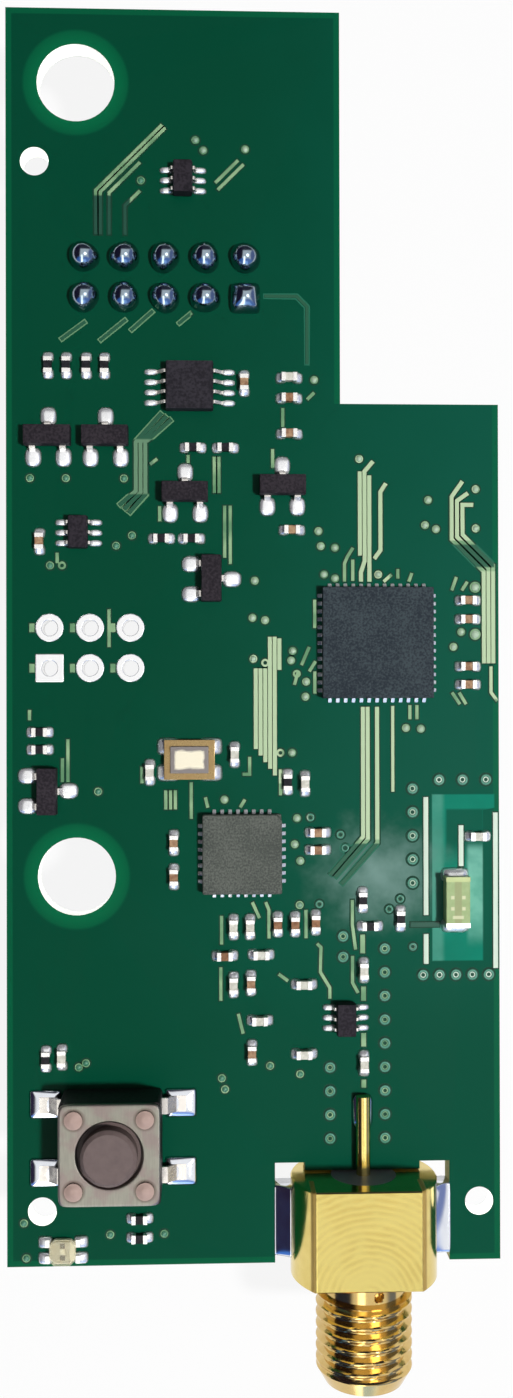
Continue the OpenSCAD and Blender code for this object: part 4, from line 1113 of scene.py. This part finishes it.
dress(moulding("processor_moulding", (32, 40, 48), (60, 71, 76), 7.5), "processor_body")
dress(moulding("radio_moulding", (70, 75, 70), (104, 108, 101), 8.0), "radio_body")
dress(moulding("memory_moulding", (26, 24, 30), (48, 45, 52), 6.0), "memory_body")
dress(moulding("small_moulding", (24, 21, 27), (46, 41, 48), 6.0), *SIX_LEADED)
dress(moulding("transistor_moulding", (26, 22, 28), (50, 44, 50), 6.0), *TRANSISTORS)
dress(moulding("carrier_plastic", (22, 22, 24), (34, 34, 36), 2.0), "header_carrier")
dress(bright_metal("pin_gold", (236, 196, 104), (222, 178, 84), 0.18, 0.34, 2.0), "header_pins")

# %% [markdown]
# ## Chips, crystal, antenna and light
# Chip parts are small ceramic blocks: resistors topped with black glass, tan capacitors, pale filters
# and brown inductors. The crystal is a ceramic cup with a welded lid, the antenna a bar of olive
# ceramic with a printed winding, and the light a cream cup with clear resin over two dies. The winding
# could be a mesh of its own, but print has no height, so the ceramic's finish draws it.

# %% Chips and the crystal
dress(moulding("resistor_black", (20, 20, 24), (38, 38, 44), 5.0, 0.25), "resistor_bodies")
dress(moulding("capacitor_tan", (142, 104, 78), (184, 150, 116), 4.0, 0.4), "capacitor_bodies")
dress(moulding("filter_cream", (206, 204, 190), (232, 230, 218), 4.0, 0.35), "filter_bodies")
dress(moulding("inductor_brown", (128, 88, 62), (166, 124, 92), 4.0, 0.4), "inductor_bodies")
dress(bright_metal("crystal_frame", (180, 156, 110), (128, 102, 66), 0.2, 0.4, 1.5), "crystal_base")
lid = Finish("crystal_lid", Metallic=1.0)
place, right, up, _ = lid.axes()
lid_low, lid_high = box_mm("crystal_lid")
into_lid = into_box(right, up, *lid_low[:2], *lid_high[:2])
seam = (into_lid + 0.3 * place.grain(2.0, 3.0)).ease(0.55, 0.36)
lid.set(Base_Color=seam.blend((246, 238, 214), (128, 122, 120)))
lid.set(Roughness=seam.ease(0.0, 1.0, 0.2, 0.4))
dress(lid, "crystal_lid")

# %% Antenna
ceramic = Finish("antenna_ceramic", Specular_IOR_Level=0.4)
place, right, up, above = ceramic.axes()
middle = (antenna_low + antenna_high) / 2
along_bar = up - middle[1]
beat = (along_bar * 9.0 - 2.8).math("COSINE")
aside = (right - middle[0]).math("ABSOLUTE")
on_top = above.ease(antenna_high[2] - 0.08, antenna_high[2] - 0.04)
strip = aside.ease(0.26, 0.18) * on_top
dots = beat.ease(0.3, 0.8) * aside.band(0.20, 0.28, 0.42, 0.50)
dots = dots * along_bar.band(-0.80, -0.70, 0.65, 0.75)
bar = along_bar.band(-1.06, -1.00, -0.86, -0.80) * aside.ease(0.4, 0.3)
dots = dots.most(bar) * on_top
fired = place.grain(3.0).blend((146, 170, 112), (172, 192, 136))
printed = layered(fired, (strip * 0.6, (150, 150, 104)), (dots * 0.8, (226, 226, 186)))
ceramic.set(Base_Color=printed, Roughness=0.38 + 0.1 * dots)
dress(ceramic, "antenna_body")
ends = Finish("antenna_silver", Metallic=1.0)
place = ends.place()
glazed = place.parts()[1].ease(middle[1] - 0.2, middle[1] + 0.2)
ends.set(Base_Color=glazed.blend((246, 246, 236), (178, 190, 132)))
ends.set(Metallic=glazed.ease(0.0, 1.0, 1.0, 0.15), Roughness=0.22 + 0.2 * place.grain(4.0))
dress(ends, "antenna_ends")

# %% Light
dress(moulding("light_body", (253, 243, 206), (254, 250, 224), 2.0, 0.4, 0.001), "light_base")
dress(bright_metal("light_die", (170, 120, 62), (110, 72, 40), 0.25, 0.4, 8.0), "light_dies")
clear = Finish("light_clear", Alpha=0.28)
place = clear.place()
clear.set(Base_Color=place.grain(3.0).blend((253, 243, 204), (255, 250, 224)))
clear.set(Roughness=0.12 + 0.15 * place.grain(5.0))
dress(clear, "light_cover")

# %% [markdown]
# ## The push-button
# A pressed cover of champagne-coloured steel is held down by four plastic posts whose heads were
# melted over it. Pressing rounds its rim and the edge of its opening. A Bevel would round the lower
# edges too, so the cover is built anew: rows run from the square rim, over both roundings, to the
# round opening. The steel was rolled first, which draws its grain out. The button is the posts'
# plastic, a little darker.

# %% Measures of the cover
cover_low, cover_high = box_mm("switch_cover")
cover_at = (cover_low + cover_high) / 2
cover_top = cover_high[2]
cover_half = (cover_high - cover_low)[0] / 2
cover_points = sorted_points("switch_cover")[0] - cover_at
opening_r = np.hypot(cover_points[:, 0], cover_points[:, 1]).min()
heads = sorted_points("switch_base")[0]
heads = heads[heads[:, 2] > cover_top + 0.05] - cover_at
post_at = np.abs(heads[:, :2]).mean()
print("cover opening:", round(2 * opening_r, 2), "posts at:", round(post_at, 2))

# %% Pressed cover
ROUNDED = 0.13
turn = full_turn(144)
square = (np.cos(turn) ** 16 + np.sin(turn) ** 16) ** (-1 / 16)
roll = np.radians([0, 22.5, 45, 67.5, 90])
drop = ROUNDED * (1 - np.sin(roll))
inset = np.concatenate([[0], ROUNDED * (1 - np.cos(roll)), [ROUNDED + 0.06]])[:, None]
rim_rows = (cover_half - inset) * square
opening_rows = (opening_r + inset[::-1]) * np.ones_like(turn)
row_z = np.concatenate([[cover_low[2]], cover_top - drop, [cover_top]])
cover_z = np.concatenate([row_z, row_z[::-1]])[:, None]
plate = turned(cover_at, np.concatenate([rim_rows, opening_rows]), turn, cover_z)
pressed_cover = lay_grid("pressed_cover", plate[None], rows_round=True)


# %% Cover finish
def from_posts(place):
    """Distance from the nearest of the four posts, in millimetres.

    The four quarters of the cover are folded onto one, where a single post stands.
    """
    right, up, _ = place.parts()
    aside = (right - cover_at[0]).math("ABSOLUTE")
    along = (up - cover_at[1]).math("ABSOLUTE")
    folded = place.net.node("ShaderNodeCombineXYZ", None, (aside, along))
    return folded.away((post_at, post_at, 0.0))


cover = Finish("cover_metal", Metallic=1.0)
place = cover.place()
streak = place.stretch((6.0, 0.5, 1.0)).grain(1.6, 3.0)
stain = place.grain(0.8, 3.0).ease(0.42, 0.62)
# A dark ring round each post is painted shade in the seam between post and plate.
post_ring_painted_shade = from_posts(place).ease(0.78, 0.6)
steel = streak.blend((148, 146, 134), (122, 119, 110))
steel = layered(steel, (stain * 0.7, (132, 116, 113)), (post_ring_painted_shade * 0.55, (84, 68, 60)))
cover.set(Base_Color=steel, Roughness=0.32 + 0.14 * streak)
cover.rough_up(streak, 0.005)
fit_in(pressed_cover, cover, "cover_metal", "switch_cover")

# %% Switch plastics
plastic = Finish("switch_plastic", Specular_IOR_Level=0.2)
place, _, _, above = plastic.axes()
patch = place.grain(2.5, 3.0)
worn = patch.blend((172, 146, 136), (200, 172, 162))
# Below the heads the plastic is painted near black: partly dark plastic, partly painted shade.
deep = patch.blend((26, 22, 26), (42, 36, 38))
on_head = above.ease(cover_top - 0.1, cover_top)
plastic.set(Base_Color=on_head.blend(deep, worn))
plastic.set(Roughness=0.4 + 0.2 * place.grain(4.0))
plastic.rough_up(from_posts(place).ease(0.62, 0.1) * on_head, 0.16)
dress(plastic, "switch_base")

knob = Finish("button_plastic", Specular_IOR_Level=0.2)
place, _, _, above = knob.axes()
button_low, button_high = box_mm("switch_button")
skin = place.grain(2.0, 4.0).blend((98, 84, 83), (122, 106, 103))
# The button's flank is painted a little darker than its top: a painted shade.
flank = above.ease(button_high[2] - 0.14, button_high[2] - 0.3)
knob.set(Base_Color=flank.blend(skin, (100, 86, 83)))
knob.set(Roughness=0.4 + 0.15 * place.grain(6.0))
dress(knob, "switch_button")

# %% [markdown]
# ## The snap dome
# Under the button, out of sight, a dome of spring steel gives way when the button is pressed. A shape
# key could bend it, but nothing would tie that to the joint. Here a copy of its solid takes its place,
# and the share of its height that would leave it just below the button's foot when pressed is worked
# out.

# %% Snap dome
FOOT_CLEAR = 0.02
travel = frame["record"]["behaviour"]["joints"][0]["range_m"][1] / MM
dome_low, dome_high = box_mm("switch_dome")
foot_z = button_low[2] - travel - FOOT_CLEAR
flattened = (foot_z - dome_low[2]) / (dome_high - dome_low)[2]
snap_dome = merged_copy("switch_dome", "snap_dome")
fit_in(snap_dome, lead_metal, "spring_metal", "switch_dome")
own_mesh(snap_dome)
print("dome keeps this share of its height:", round(flattened, 2))
